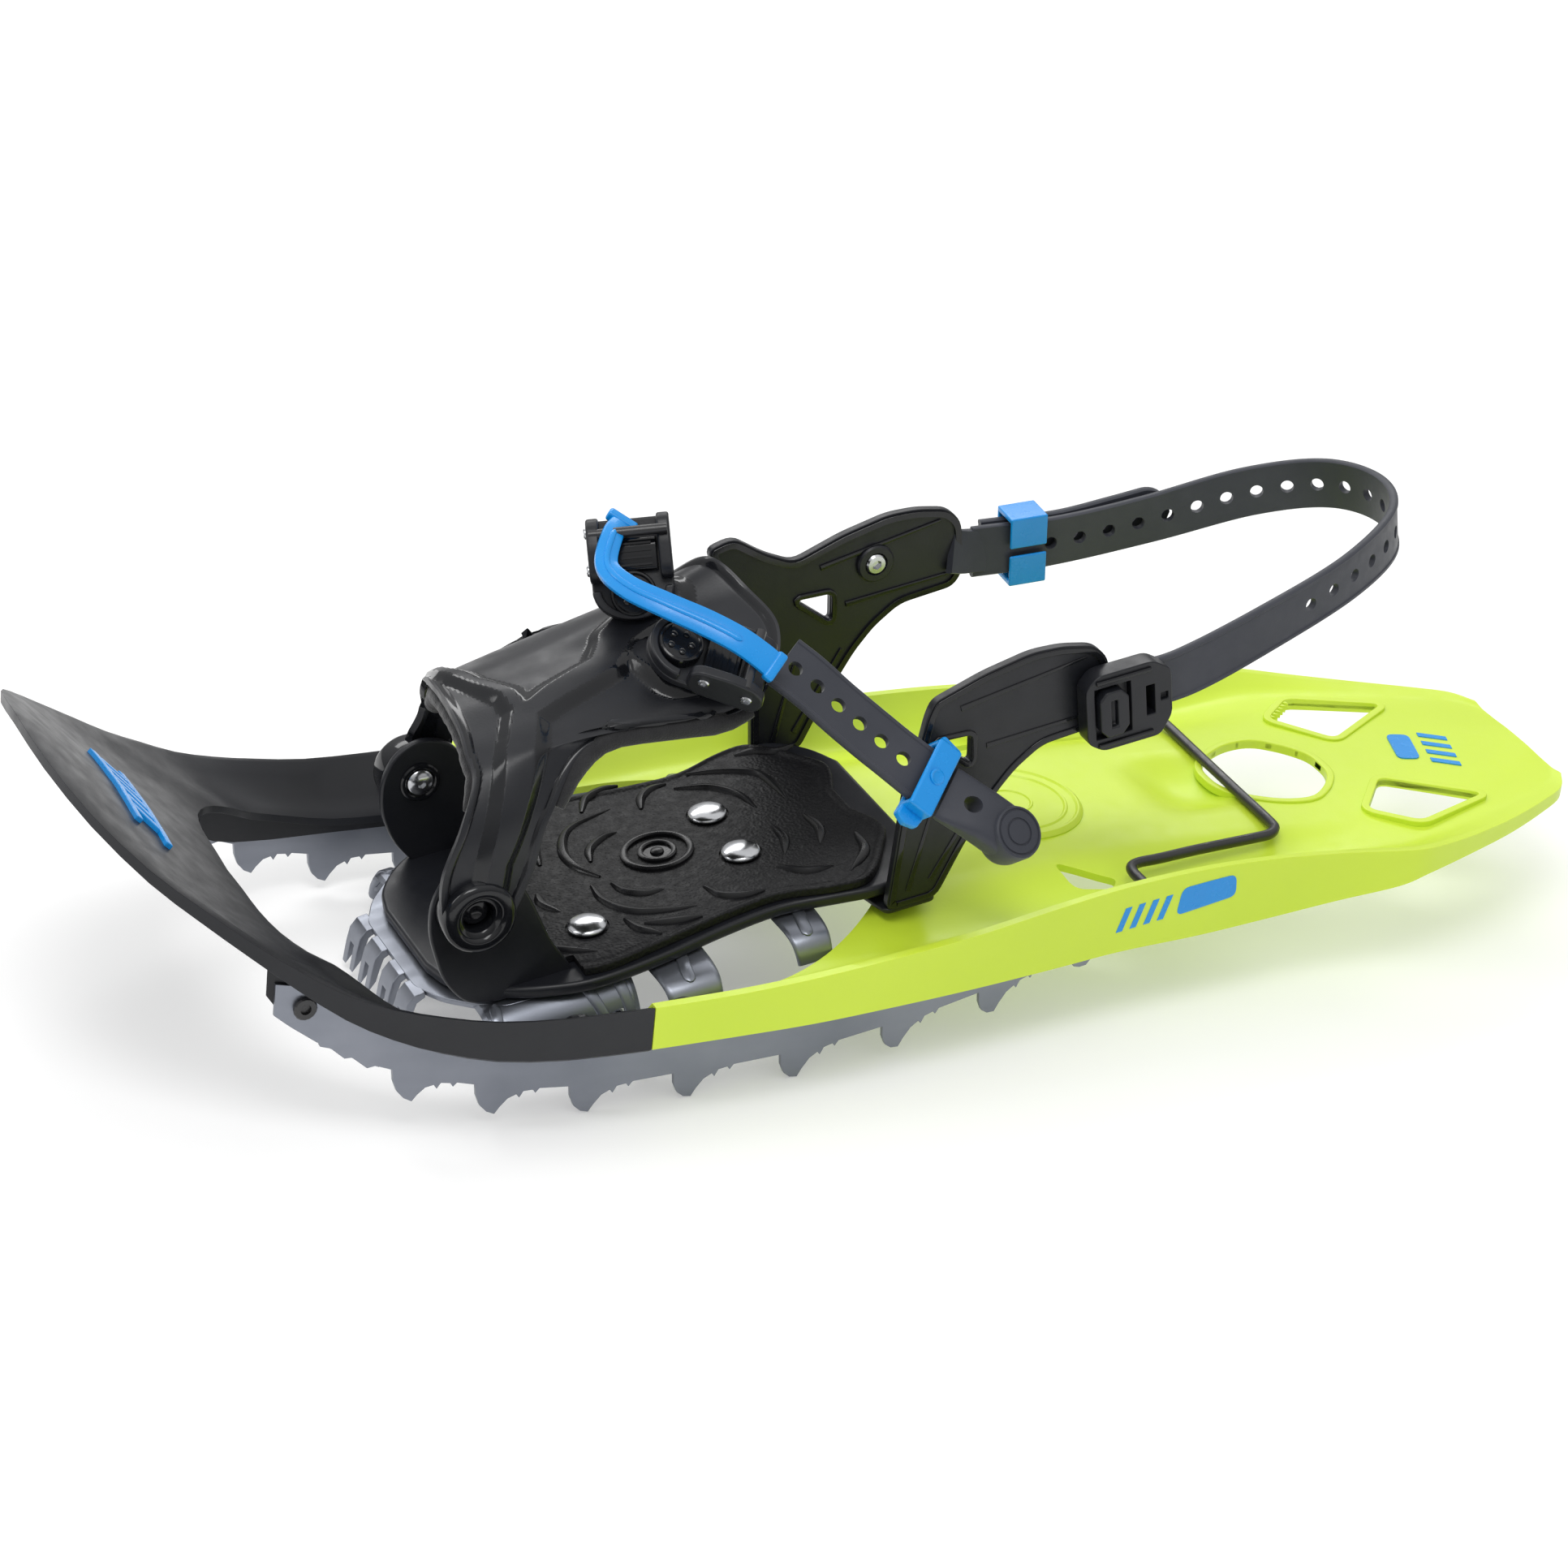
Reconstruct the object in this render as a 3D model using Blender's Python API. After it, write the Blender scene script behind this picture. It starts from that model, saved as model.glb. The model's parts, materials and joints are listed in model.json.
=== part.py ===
"""One snowshoe with a pivoting binding, modelled piece by piece.

Axes: +Z up, nose towards -X, tail towards +X, the wearer's left towards -Y.
The origin is on the ground, below the middle of the shoe. Tables below are in
millimetres; every mesh is scaled to metres when it is made.
"""
import math

import bmesh
import bpy
from mathutils import Euler, Matrix, Vector
from mathutils.bvhtree import BVHTree

MM = 0.001                      # metres in a millimetre
GAP = 0.3                       # clearance between neighbouring pieces
DECK_HEIGHT = 48.0              # tail deck plane above the ground
CENTRE_SHIFT = 1.0              # brings the middle of the shoe to x = 0
PLATE_SKIN = 2.8                # moulded wall of nose frame and deck
TAIL_JOINT_X = -107.5           # where the nose frame meets the tail deck

BINDING_ORIGIN = (-95.0, 0.0, -6.0)    # top of the tread pad at the ball of the foot
BINDING_TILT = math.radians(10.3)      # heel raised above the deck
PIVOT = (-10.0, 0.0, -22.0)            # toe axle, in binding coordinates
AXLE_RADIUS = 3.0
BAIL_PIVOT = (98.0, 0.0, 3.2)          # heel lift axis, in deck coordinates
BAIL_RADIUS = 2.0
LEFT_BOSS = (-56.0, 34.0)              # toe cage pivot, wearer's left (u, w)
RIGHT_BOSS = (-39.0, 28.0)             # toe cage pivot, wearer's right (u, w)
EAR_Y = 46.5                           # inner face of the ears that hold the toe cage
EAR_REACH = 36.0                       # how far an ear runs behind its boss

# x, half width, rim top height, wall depth, channel height, plateau height
DECK_STATIONS = (
    (-107.2, 102.0, -1.2, 16.5, -19.0, -19.0),
    (-75.0, 102.0, -0.4, 17.0, -16.0, -16.0),
    (-45.0, 100.0, 0.4, 18.5, -12.5, -12.0),
    (-15.0, 97.0, 1.8, 20.0, -9.5, -7.0),
    (20.0, 93.0, 4.0, 22.0, -8.0, -2.5),
    (55.0, 87.5, 7.0, 25.0, -7.0, -0.2),
    (85.0, 83.0, 9.0, 26.5, -6.0, 0.5),
    (120.0, 78.5, 9.3, 27.5, -5.0, 0.5),
    (150.0, 76.3, 8.4, 25.0, -4.0, 0.5),
    (180.0, 76.0, 6.6, 20.0, -2.5, 0.5),
    (205.0, 77.8, 5.2, 15.0, -1.0, 0.5),
    (218.0, 77.0, 4.4, 11.0, -0.5, 0.6),
    (240.0, 69.5, 2.6, 8.0, 0.0, 0.8),
    (264.0, 59.5, 1.6, 6.5, 0.4, 1.0),
    (285.0, 49.0, 1.6, 5.5, 0.8, 1.2),
    (297.0, 41.5, 1.8, 5.0, 1.0, 1.3),
    (303.0, 32.0, 2.0, 5.0, 1.2, 1.4),
)
DECK_FRONT = ((-125.0, 81.8), (-107.0, 82.2), (-75.0, 81.0), (-45.0, 77.0), (-27.0, 69.5),
              (-10.0, 57.5), (3.0, 46.0), (12.0, 31.0), (17.0, 15.0))
HEEL_PAD = (79.0, 2.2, 28.0)    # centre x, top height and radius of the flat heel rest
REAR_WINDOW = ((263.5, 38.5), (228.0, 52.0), (212.5, 38.5), (230.0, 17.0))
CENTRE_WINDOW = ((213.0, 7.0), (207.0, 16.0), (197.0, 24.5), (184.0, 23.0), (172.0, 16.0),
                 (165.0, 7.0))
SIDE_SLOT = ((75.0, 44.0), (97.0, 55.0), (93.0, 59.5), (79.0, 57.0))

# outer x, y, z, lip depth, inner x, y, z, skirt x (None: no skirt), skirt bottom
NOSE_STATIONS = (
    ((-305.0, 0.0, 86.0), 4.5, (-227.0, 0.0, 15.0), None, 0.0),
    ((-302.0, 25.0, 81.0), 4.5, (-226.5, 15.0, 15.2), None, 0.0),
    ((-292.0, 47.0, 69.0), 4.5, (-226.0, 30.0, 15.0), None, 0.0),
    ((-277.0, 63.0, 55.0), 5.0, (-223.0, 44.0, 13.5), None, 0.0),
    ((-262.0, 71.5, 43.5), 5.5, (-216.5, 54.0, 10.5), None, 0.0),
    ((-247.0, 78.5, 32.5), 6.0, (-208.5, 59.0, 7.0), -240.0, 8.0),
    ((-232.0, 85.5, 23.0), 7.5, (-201.0, 64.5, 2.0), -222.0, -8.0),
    ((-216.0, 91.0, 14.0), 9.5, (-194.0, 70.0, -3.0), -206.0, -17.5),
    ((-200.0, 95.0, 8.0), 11.5, (-185.0, 75.0, -7.5), -190.0, -19.5),
    ((-183.0, 97.5, 3.8), 13.5, (-173.0, 78.5, -12.0), -176.0, -20.5),
    ((-163.0, 99.5, 0.2), 15.0, (-157.0, 80.5, -16.0), -158.0, -21.0),
    ((-138.0, 101.3, -1.2), 16.0, (-135.0, 81.5, -17.5), -135.5, -22.0),
    ((TAIL_JOINT_X, 102.0, -1.2), 16.5, (TAIL_JOINT_X, 82.0, -17.5), TAIL_JOINT_X, -22.0),
)
NOSE_STEPS = 2                  # smooth sections between two rows of the nose table
RAIL_PLAN = ((-262.0, 61.0), (-246.0, 70.0), (-232.0, 76.0), (-216.0, 79.8), (-200.0, 81.6),
             (-160.0, 84.6), (-138.0, 86.0), (-107.0, 87.0), (-60.0, 85.5), (0.0, 80.5),
             (40.0, 76.0), (80.0, 70.5), (98.0, 67.5))
RAIL_FRONT_X = -229.0
RAIL_REAR_X = 92.0
RAIL_BASE = ((-232.0, -2.0), (-222.0, -9.0), (-205.0, -18.5), (-186.5, -25.5), (-156.5, -34.0),
             (-122.0, -37.5), (-41.0, -37.5), (0.0, -33.5), (40.0, -27.5), (80.0, -21.0),
             (98.0, -19.5))
RAIL_TEETH = (-189.5, -159.5, -125.0, -86.0, -44.0, -3.0, 37.0, 76.0)
RAIL_THICKNESS = 2.0
TOOTH_PROFILE = ((-5.5, 0.0), (-5.0, -4.5), (-3.5, -8.0), (-1.0, -10.0), (2.0, -10.5),
                 (3.8, -7.5), (6.5, -4.2), (9.5, -2.6), (10.6, -4.0), (12.0, -1.4),
                 (15.4, -0.9), (16.4, -2.2), (17.8, -0.3))

# half outlines in binding coordinates (u along the foot, y across)
BASE_OUTLINE = ((-66.0, 22.0), (-60.0, 38.0), (-48.0, 49.5), (-32.0, 57.0), (-15.0, 60.5),
                (10.0, 58.0), (35.0, 53.0), (58.0, 50.5), (78.0, 54.0), (92.0, 56.5),
                (102.0, 54.5), (112.0, 44.0), (118.0, 30.0))
PAD_OUTLINE = ((-26.0, 12.0), (-28.0, 46.0), (-24.5, 53.5), (-17.0, 57.0), (10.0, 54.0),
               (35.0, 49.0), (58.0, 47.0), (78.0, 50.5), (90.0, 53.0), (97.0, 49.0),
               (106.0, 36.0), (112.0, 26.0))
TREAD_RIVETS = ((-8.5, 32.0), (58.5, 15.1))

# front edge u, y, w, rear edge u, y, w and how far the skin stands proud between them
CAGE_ROWS = (
    (-69.0, -55.0, 30.0, -46.0, -56.0, 26.0, 0.0),
    (-67.0, -55.0, 50.0, -34.0, -54.0, 44.0, 1.0),
    (-57.0, -51.5, 66.0, -24.0, -50.5, 62.0, 1.5),
    (-48.0, -43.0, 77.5, 0.0, -40.0, 79.5, 2.0),
    (-46.0, -33.0, 83.0, 48.0, -41.0, 74.5, 4.5),
    (-44.0, -22.0, 86.0, 66.0, -38.0, 80.0, 3.0),
    (-43.0, -10.0, 88.0, 77.0, -23.0, 91.0, 1.0),
    (-42.0, 2.0, 88.0, 74.0, -6.0, 99.0, -2.5),
    (-41.0, 14.0, 86.0, 67.0, 10.0, 106.0, -4.5),
    (-38.0, 28.0, 79.0, 58.0, 28.0, 93.0, 0.0),
    (-37.0, 34.0, 74.0, 48.0, 42.0, 74.0, 3.0),
    (-36.0, 40.0, 67.0, 4.0, 43.0, 75.0, 2.0),
    (-34.0, 48.0, 53.0, -14.0, 51.0, 58.0, 1.5),
    (-40.0, 54.0, 39.0, -20.0, 54.5, 42.0, 1.0),
    (-51.0, 55.0, 25.0, -28.0, 56.0, 22.0, 0.0),
)
CAGE_STEPS = 3                  # smooth steps between two rows of the cage table
CAGE_ACROSS = 4                 # spans from the cage's front edge to its rear edge
CAGE_SKIN = 3.0
LINER_RADIUS = 3.6

INSTEP_STRAP = ((71.3, -38.7, 87.4), (78.0, -45.3, 80.3), (86.0, -54.5, 70.5),
                (94.8, -63.5, 60.4), (102.8, -71.8, 51.8), (112.1, -76.4, 41.5))
INSTEP_WIDTH = 22.0
STRAP_FACE = (0.34, -0.80, 0.49)
STRAP_THICKNESS = 3.2
HEEL_STRAP = ((193.0, -60.0, 50.5), (217.0, -59.0, 49.0), (255.0, -54.0, 54.0),
              (295.0, -43.0, 58.0), (325.0, -22.0, 58.0), (335.0, 4.0, 56.5),
              (326.0, 28.0, 55.0), (300.0, 43.0, 52.0), (262.0, 52.0, 47.0),
              (225.0, 57.0, 46.0), (190.5, 59.0, 50.0))
HEEL_STRAP_TAIL = ((272.0, 55.9, 48.3), (250.0, 58.7, 46.8), (225.0, 61.6, 46.0),
                   (196.0, 63.9, 49.2))
HEEL_WIDTH = 20.0
LEVER_PATH = ((38.0, 19.0, 125.5), (31.0, 11.0, 125.5), (23.5, -1.0, 121.5),
              (26.0, -12.5, 118.0), (35.0, -25.0, 114.0), (45.5, -34.5, 108.5),
              (54.0, -42.3, 103.0), (60.2, -47.0, 97.0), (63.5, -49.8, 93.0))
LEVER_WIDTH = 9.0

WING_OUTLINE = ((94.0, -12.0), (114.0, -12.0), (126.0, 6.0), (139.5, 23.0), (148.0, 31.0),
                (159.0, 37.5), (181.5, 38.5), (186.5, 45.0), (186.5, 65.0), (181.5, 71.5),
                (169.0, 75.0), (157.0, 76.0), (138.0, 73.0), (118.0, 67.5))
WING_FRONT_ARM = ((107.0, 74.0), (95.0, 84.0), (84.0, 82.0), (90.0, 60.0), (98.0, 36.0))
WING_FRONT_STUB = ((113.0, 62.0), (108.0, 50.0), (104.0, 36.0))
WING_WINDOW = ((118.0, 51.0), (131.5, 50.0), (130.5, 39.0))
WING_Y = 57.6
WING_THICKNESS = 3.2

COLOURS = {
    "lime_plastic": ((0.72, 0.86, 0.11), 0.42, 0.0),
    "black_plastic": ((0.022, 0.024, 0.029), 0.35, 0.0),
    "slate_rubber": ((0.045, 0.048, 0.062), 0.55, 0.0),
    "foam": ((0.015, 0.015, 0.016), 0.9, 0.0),
    "rail_steel": ((0.23, 0.25, 0.30), 0.38, 0.85),
    "bright_steel": ((0.75, 0.76, 0.78), 0.18, 1.0),
    "black_steel": ((0.018, 0.018, 0.020), 0.3, 0.6),
    "blue_plastic": ((0.01, 0.34, 0.80), 0.3, 0.0),
}


# ---------------------------------------------------------------- helpers

def clear_scene():
    for old in list(bpy.data.objects):
        bpy.data.objects.remove(old, do_unlink=True)


def material(slot):
    found = bpy.data.materials.get(slot)
    if found:
        return found
    made = bpy.data.materials.new(slot)
    made.use_nodes = True
    colour, roughness, metallic = COLOURS[slot]
    shader = made.node_tree.nodes["Principled BSDF"]
    shader.inputs["Base Color"].default_value = (*colour, 1.0)
    shader.inputs["Roughness"].default_value = roughness
    shader.inputs["Metallic"].default_value = metallic
    return made


def make_object(name, mesh_data, slot, smooth_degrees=35.0):
    """Turn a bmesh in millimetres into a named object in metres."""
    bmesh.ops.recalc_face_normals(mesh_data, faces=mesh_data.faces)
    bmesh.ops.scale(mesh_data, vec=(MM, MM, MM), verts=mesh_data.verts)
    mesh = bpy.data.meshes.new(name)
    mesh_data.to_mesh(mesh)
    mesh_data.free()
    mesh.materials.append(material(slot))
    mesh.shade_smooth()
    mesh.set_sharp_from_angle(angle=math.radians(smooth_degrees))
    made = bpy.data.objects.new(name, mesh)
    bpy.context.scene.collection.objects.link(made)
    return made


def bake(target):
    """Replace an object's mesh by what its modifiers make of it."""
    graph = bpy.context.evaluated_depsgraph_get()
    mesh = bpy.data.meshes.new_from_object(target.evaluated_get(graph))
    target.modifiers.clear()
    target.data = mesh


def combine(target, others, operation):
    """Boolean a list of objects into the target, then drop them."""
    for other in others:
        step = target.modifiers.new(operation.lower(), "BOOLEAN")
        step.operation = operation
        step.object = other
    bpy.context.view_layer.update()
    bake(target)
    for other in others:
        bpy.data.objects.remove(other, do_unlink=True)
    return target


def bevelled(target, width, segments=1, angle=40.0):
    step = target.modifiers.new("edges", "BEVEL")
    step.width = width * MM
    step.segments = segments
    step.limit_method = "ANGLE"
    step.angle_limit = math.radians(angle)
    bpy.context.view_layer.update()
    bake(target)
    return target


def spline(points, steps):
    """Catmull-Rom curve through the points, with the given steps per span."""
    knots = [Vector(point) for point in points]
    knots = [knots[0] * 2 - knots[1]] + knots + [knots[-1] * 2 - knots[-2]]
    result = []
    for i in range(1, len(knots) - 2):
        before, start, end, after = knots[i - 1:i + 3]
        for step in range(steps):
            t = step / steps
            point = start * 2 + (end - before) * t
            point += (before * 2 - start * 5 + end * 4 - after) * t * t
            point += (start * 3 - before - end * 3 + after) * t ** 3
            result.append(point * 0.5)
    result.append(knots[-2])
    return result


def lookup(table, x):
    """Straight-line interpolation of the second column at x."""
    for (x0, v0), (x1, v1) in zip(table, table[1:]):
        if x <= x1:
            return v0 + (v1 - v0) * (x - x0) / (x1 - x0)
    return table[-1][1]


def ring_loft(name, rings, slot, smooth_degrees=35.0):
    """Skin a list of equal rings and cap both ends."""
    build = bmesh.new()
    rows = [[build.verts.new(point) for point in ring] for ring in rings]
    count = len(rows[0])
    for row, following in zip(rows, rows[1:]):
        for i in range(count):
            j = (i + 1) % count
            build.faces.new((row[i], row[j], following[j], following[i]))
    build.faces.new(rows[0])
    build.faces.new(list(reversed(rows[-1])))
    return make_object(name, build, slot, smooth_degrees)


def prism(name, outline, low, high, slot, to_space=None):
    """Extrude a flat outline between two heights; to_space maps (a, b, c) to a point."""
    to_space = to_space or (lambda a, b, c: (a, b, c))
    rings = [[to_space(a, b, level) for a, b in outline] for level in (low, high)]
    return ring_loft(name, rings, slot)


def side_prism(name, outline, y_low, y_high, slot):
    """Extrude an outline drawn in (u, w) across the foot."""
    return prism(name, outline, y_low, y_high, slot, lambda u, w, y: (u, y, w))


def mirrored(half):
    """Close a half outline (y > 0) by its mirror image."""
    return [*half, *[(x, -y) for x, y in reversed(half) if y > 0.01]]


def frame_matrix(origin, along, normal):
    """Axes with x along, z close to normal."""
    x_axis = Vector(along).normalized()
    y_axis = Vector(normal).cross(x_axis).normalized()
    z_axis = x_axis.cross(y_axis)
    turn = Matrix((x_axis, y_axis, z_axis)).transposed().to_4x4()
    return Matrix.Translation(Vector(origin)) @ turn


def box(name, size, placed, slot, bevel=0.0):
    build = bmesh.new()
    bmesh.ops.create_cube(build, size=1.0)
    bmesh.ops.scale(build, vec=size, verts=build.verts)
    bmesh.ops.transform(build, matrix=placed, verts=build.verts)
    made = make_object(name, build, slot)
    return bevelled(made, bevel) if bevel else made


def rod(name, start, end, radius, slot, sides=14, bevel=0.0):
    """Cylinder between two points."""
    start, end = Vector(start), Vector(end)
    build = bmesh.new()
    bmesh.ops.create_cone(build, cap_ends=True, segments=sides, radius1=radius, radius2=radius,
                          depth=(end - start).length)
    turn = Vector((0, 0, 1)).rotation_difference(end - start).to_matrix().to_4x4()
    placed = Matrix.Translation((start + end) / 2) @ turn
    bmesh.ops.transform(build, matrix=placed, verts=build.verts)
    made = make_object(name, build, slot)
    return bevelled(made, bevel) if bevel else made


def dome_rivet(name, centre, normal, radius, height, slot, sides=12):
    """Low turned head: flat underside, rounded top."""
    placed = frame_matrix(centre, Vector(normal).orthogonal(), normal)
    profile = [(radius, 0.0), (radius, height * 0.25), (radius * 0.86, height * 0.62),
               (radius * 0.55, height * 0.9)]
    build = bmesh.new()
    rows = []
    for reach, level in profile:
        row = []
        for i in range(sides):
            angle = 2 * math.pi * i / sides
            point = Vector((reach * math.cos(angle), reach * math.sin(angle), level))
            row.append(build.verts.new(placed @ point))
        rows.append(row)
    top = build.verts.new(placed @ Vector((0.0, 0.0, height)))
    for row, following in zip(rows, rows[1:]):
        for i in range(sides):
            j = (i + 1) % sides
            build.faces.new((row[i], row[j], following[j], following[i]))
    for i in range(sides):
        build.faces.new((rows[-1][i], rows[-1][(i + 1) % sides], top))
    build.faces.new(list(reversed(rows[0])))
    return make_object(name, build, slot, 50.0)


def strip(name, path, width, thickness, facing, slot):
    """Flat strap swept along a path; facing(i, point, tangent) is the face normal."""
    rings = []
    for i, point in enumerate(path):
        tangent = (path[min(i + 1, len(path) - 1)] - path[max(i - 1, 0)]).normalized()
        side = tangent.cross(facing(i, point, tangent)).normalized() * width / 2
        normal = side.cross(tangent).normalized() * thickness / 2
        edge = side * 0.94
        rings.append([point + side, point + edge + normal, point - edge + normal,
                      point - side, point - edge - normal, point + edge - normal])
    return ring_loft(name, rings, slot)


def tube(name, path, radius, slot, sides=10):
    """Round bar swept along a path without twist."""
    rings = []
    normal = Vector((0, 0, 1))
    for i, point in enumerate(path):
        tangent = (path[min(i + 1, len(path) - 1)] - path[max(i - 1, 0)]).normalized()
        if abs(tangent.dot(normal)) > 0.98:
            normal = Vector((0, 1, 0))
        normal = (normal - tangent * normal.dot(tangent)).normalized()
        other = tangent.cross(normal)
        ring = []
        for k in range(sides):
            angle = 2 * math.pi * k / sides
            ring.append(point + normal * radius * math.cos(angle) + other * radius * math.sin(angle))
        rings.append(ring)
    return ring_loft(name, rings, slot, 60.0)


def punch_along(target, path, start, pitch, count, radius, facing):
    """Round holes through a strap at even distances along its path."""
    cutters = []
    travelled = 0.0
    wanted = [start + pitch * i for i in range(count)]
    for i in range(len(path) - 1):
        span = (path[i + 1] - path[i]).length
        while wanted and travelled + span >= wanted[0]:
            point = path[i].lerp(path[i + 1], (wanted[0] - travelled) / span)
            tangent = (path[i + 1] - path[i]).normalized()
            normal = facing(i, point, tangent)
            normal = (normal - tangent * normal.dot(tangent)).normalized() * 6.0
            cutters.append(rod("cutter", point - normal, point + normal, radius, "foam", 8))
            wanted.pop(0)
        travelled += span
    return combine(target, cutters, "DIFFERENCE")


def outward(centre_u):
    """Face normal that points level and away from the boot's middle line."""
    def facing(_, point, tangent):
        level = Vector((point.x - centre_u, point.y, 0.0))
        return level - tangent * level.dot(tangent)
    return facing


def steady(direction):
    return lambda _, point, tangent: Vector(direction)


# ---------------------------------------------------------------- frame

def rail_y(x):
    return lookup(RAIL_PLAN, x)


def deck_row(values):
    """Top line, outer walls and underside of the deck at one station."""
    x, half, rim, wall, channel, plateau = values
    levels = ((1.0, rim), (0.965, rim), (0.90, rim * 0.55 + channel * 0.45), (0.84, channel * 0.85
              + rim * 0.15), (0.78, channel), (0.66, channel * 0.7 + plateau * 0.3),
              (0.5, plateau), (0.25, plateau + 0.4))
    top = []
    for share, level in levels:
        y = half * share
        basin = max(0.0, 1 - ((x - 153.0) / 17.0) ** 2) * max(0.0, 1 - (y / 22.0) ** 2)
        top.append((y, level - 6.0 * basin))
    centre_basin = max(0.0, 1 - ((x - 153.0) / 17.0) ** 2)
    middle = [(0.0, plateau + 0.5 - 6.0 * centre_basin)]
    line = [*top, *middle, *[(-y, z) for y, z in reversed(top)]]
    bottom = rim - wall
    foot = [(-half, bottom), (-half + PLATE_SKIN, bottom)]
    under_half = [(y, z - PLATE_SKIN) for y, z in top[2:]]
    inner = (half - PLATE_SKIN, min(rim - PLATE_SKIN, bottom + wall * 0.8))
    under = [(-inner[0], inner[1]), *[(-y, z) for y, z in under_half],
             (0.0, middle[0][1] - PLATE_SKIN), *reversed(under_half), inner]
    ring = [*line, *foot, *under, (half - PLATE_SKIN, bottom), (half, bottom)]
    return [Vector((x, y, z)) for y, z in ring]


def refine(stations, steps):
    """Smooth extra stations between rows of equal-length number tuples."""
    pairs = [spline([(row[0], row[i], 0.0) for row in stations], steps)
             for i in range(1, len(stations[0]))]
    count = len(pairs[0])
    return [(pairs[0][k].x, *[column[k].y for column in pairs]) for k in range(count)]


def tail_deck():
    rings = [deck_row(row) for row in refine(DECK_STATIONS, 2)]
    deck = ring_loft("tail_deck", rings, "lime_plastic", 28.0)
    x, z, radius = HEEL_PAD
    combine(deck, [rod("pad", (x, 0.0, -1.0), (x, 0.0, z), radius, "lime_plastic", 32)], "UNION")
    cutters = [prism("cutter", mirrored(DECK_FRONT), -60.0, 60.0, "foam")]
    cutters.append(prism("cutter", mirrored(CENTRE_WINDOW), -60.0, 60.0, "foam"))
    for outline in (REAR_WINDOW, SIDE_SLOT):
        for sign in (1, -1):
            points = [(x, sign * y) for x, y in outline]
            cutters.append(prism("cutter", points, -60.0, 60.0, "foam"))
    x, _, z = BAIL_PIVOT
    for sign in (1, -1):
        start, end = (x, sign * 60.0, z), (x, sign * 78.6, z)
        cutters.append(rod("cutter", start, end, BAIL_RADIUS + 0.6, "foam", 12))
    return combine(deck, cutters, "DIFFERENCE")


def nose_row(station):
    """Closed section from the outer lip over the sloped plate to the inner edge."""
    outer, lip, inner, skirt_x, skirt_bottom = station
    outer, inner = Vector(outer), Vector(inner)
    across = inner - outer
    down = Vector((0.0, 0.0, -1.0))
    reach = across.length

    def at(share, lift=0.0):
        return outer + across * share - down * lift
    side = min(0.45, PLATE_SKIN / reach)
    middle = 0.72
    skirt = at(middle)
    depth = PLATE_SKIN + 0.7
    if skirt_x is not None:
        skirt = Vector((skirt_x, (rail_y(skirt_x) - 1.4) * (1 if outer.y >= 0 else -1), 0.0))
        flat = Vector((across.x, across.y, 0.0))
        share = (skirt - Vector((outer.x, outer.y, 0.0))).dot(flat) / flat.length_squared
        middle = min(max(share, side + 0.12), 0.9)
        depth = max(at(middle).z - skirt_bottom, depth)
    thick = min(0.08, 2.2 / reach)
    return [at(0.0), at(0.1, 0.9), at(0.3, 0.2), at(0.6, -0.8), at(0.85, 0.2), at(1.0),
            at(1.0, -PLATE_SKIN), at(middle + thick, -PLATE_SKIN), at(middle + thick, -depth),
            at(middle, -depth), at(middle, -PLATE_SKIN), at(side, -PLATE_SKIN),
            at(side, -lip), at(0.0, -lip)]


def nose_frame():
    half = []
    for outer, lip, inner, skirt_x, bottom in NOSE_STATIONS:
        hidden = skirt_x is None
        half.append((outer, lip, inner, outer[0] * 0.4 + inner[0] * 0.6 if hidden else skirt_x,
                     60.0 if hidden else bottom, hidden))
    outers = spline([row[0] for row in half], NOSE_STEPS)
    inners = spline([row[2] for row in half], NOSE_STEPS)
    extras = spline([(row[1], row[3], row[4]) for row in half], NOSE_STEPS)
    rows = []
    for i, (outer, inner, extra) in enumerate(zip(outers, inners, extras)):
        rows.append((outer, extra.x, inner, None if half[i // NOSE_STEPS][5] else extra.y, extra.z))
    mirror = Matrix.Diagonal((1.0, -1.0, 1.0))
    right = [nose_row(row) for row in rows]
    left = [[mirror @ point for point in ring] for ring in reversed(right[1:])]
    return ring_loft("nose_frame", [*left, *right], "black_plastic", 30.0)


def underside(solids, x, y):
    """Lowest level of the frame's plate above the point (x, y)."""
    levels = []
    for solid in solids:
        for dx in (-3.0, 0.0, 3.0):
            start = Vector(((x + dx) * MM, y * MM, -0.2))
            hit = solid.ray_cast(start, Vector((0, 0, 1)))[0]
            if hit:
                levels.append(hit.z / MM)
    return min(levels) if levels else None


def rail_profile():
    """Bottom line of a traction rail: base line plus hooked teeth."""
    points = {RAIL_FRONT_X: 0.0, -224.0: 0.0, -217.0: 0.0, -212.0: -1.6, -209.5: 0.0,
              -204.0: -1.8, -201.0: 0.0, RAIL_REAR_X: 6.0, RAIL_REAR_X - 6: 1.5}
    for tooth in RAIL_TEETH:
        size = 1.0 if tooth < 60 else 0.6
        for dx, dz in TOOTH_PROFILE:
            if tooth + dx < RAIL_REAR_X - 7:
                points[tooth + dx] = dz * size
    return sorted(points.items())


def traction_rail(name, sign, solids):
    rings = []
    for x, drop in rail_profile():
        y = rail_y(x)
        levels = [underside(solids, x, sign * (y + dy)) for dy in (0.2, 1.0, 1.8)]
        levels = [level for level in levels if level is not None]
        top = min(levels) - 0.6
        bottom = min(lookup(RAIL_BASE, x) + drop, top - 1.5)
        near, far = sign * y, sign * (y + RAIL_THICKNESS)
        rings.append([Vector((x, near, top)), Vector((x, far, top)), Vector((x, far, bottom)),
                      Vector((x, near, bottom))])
    return ring_loft(name, rings, "rail_steel", 30.0)


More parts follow.
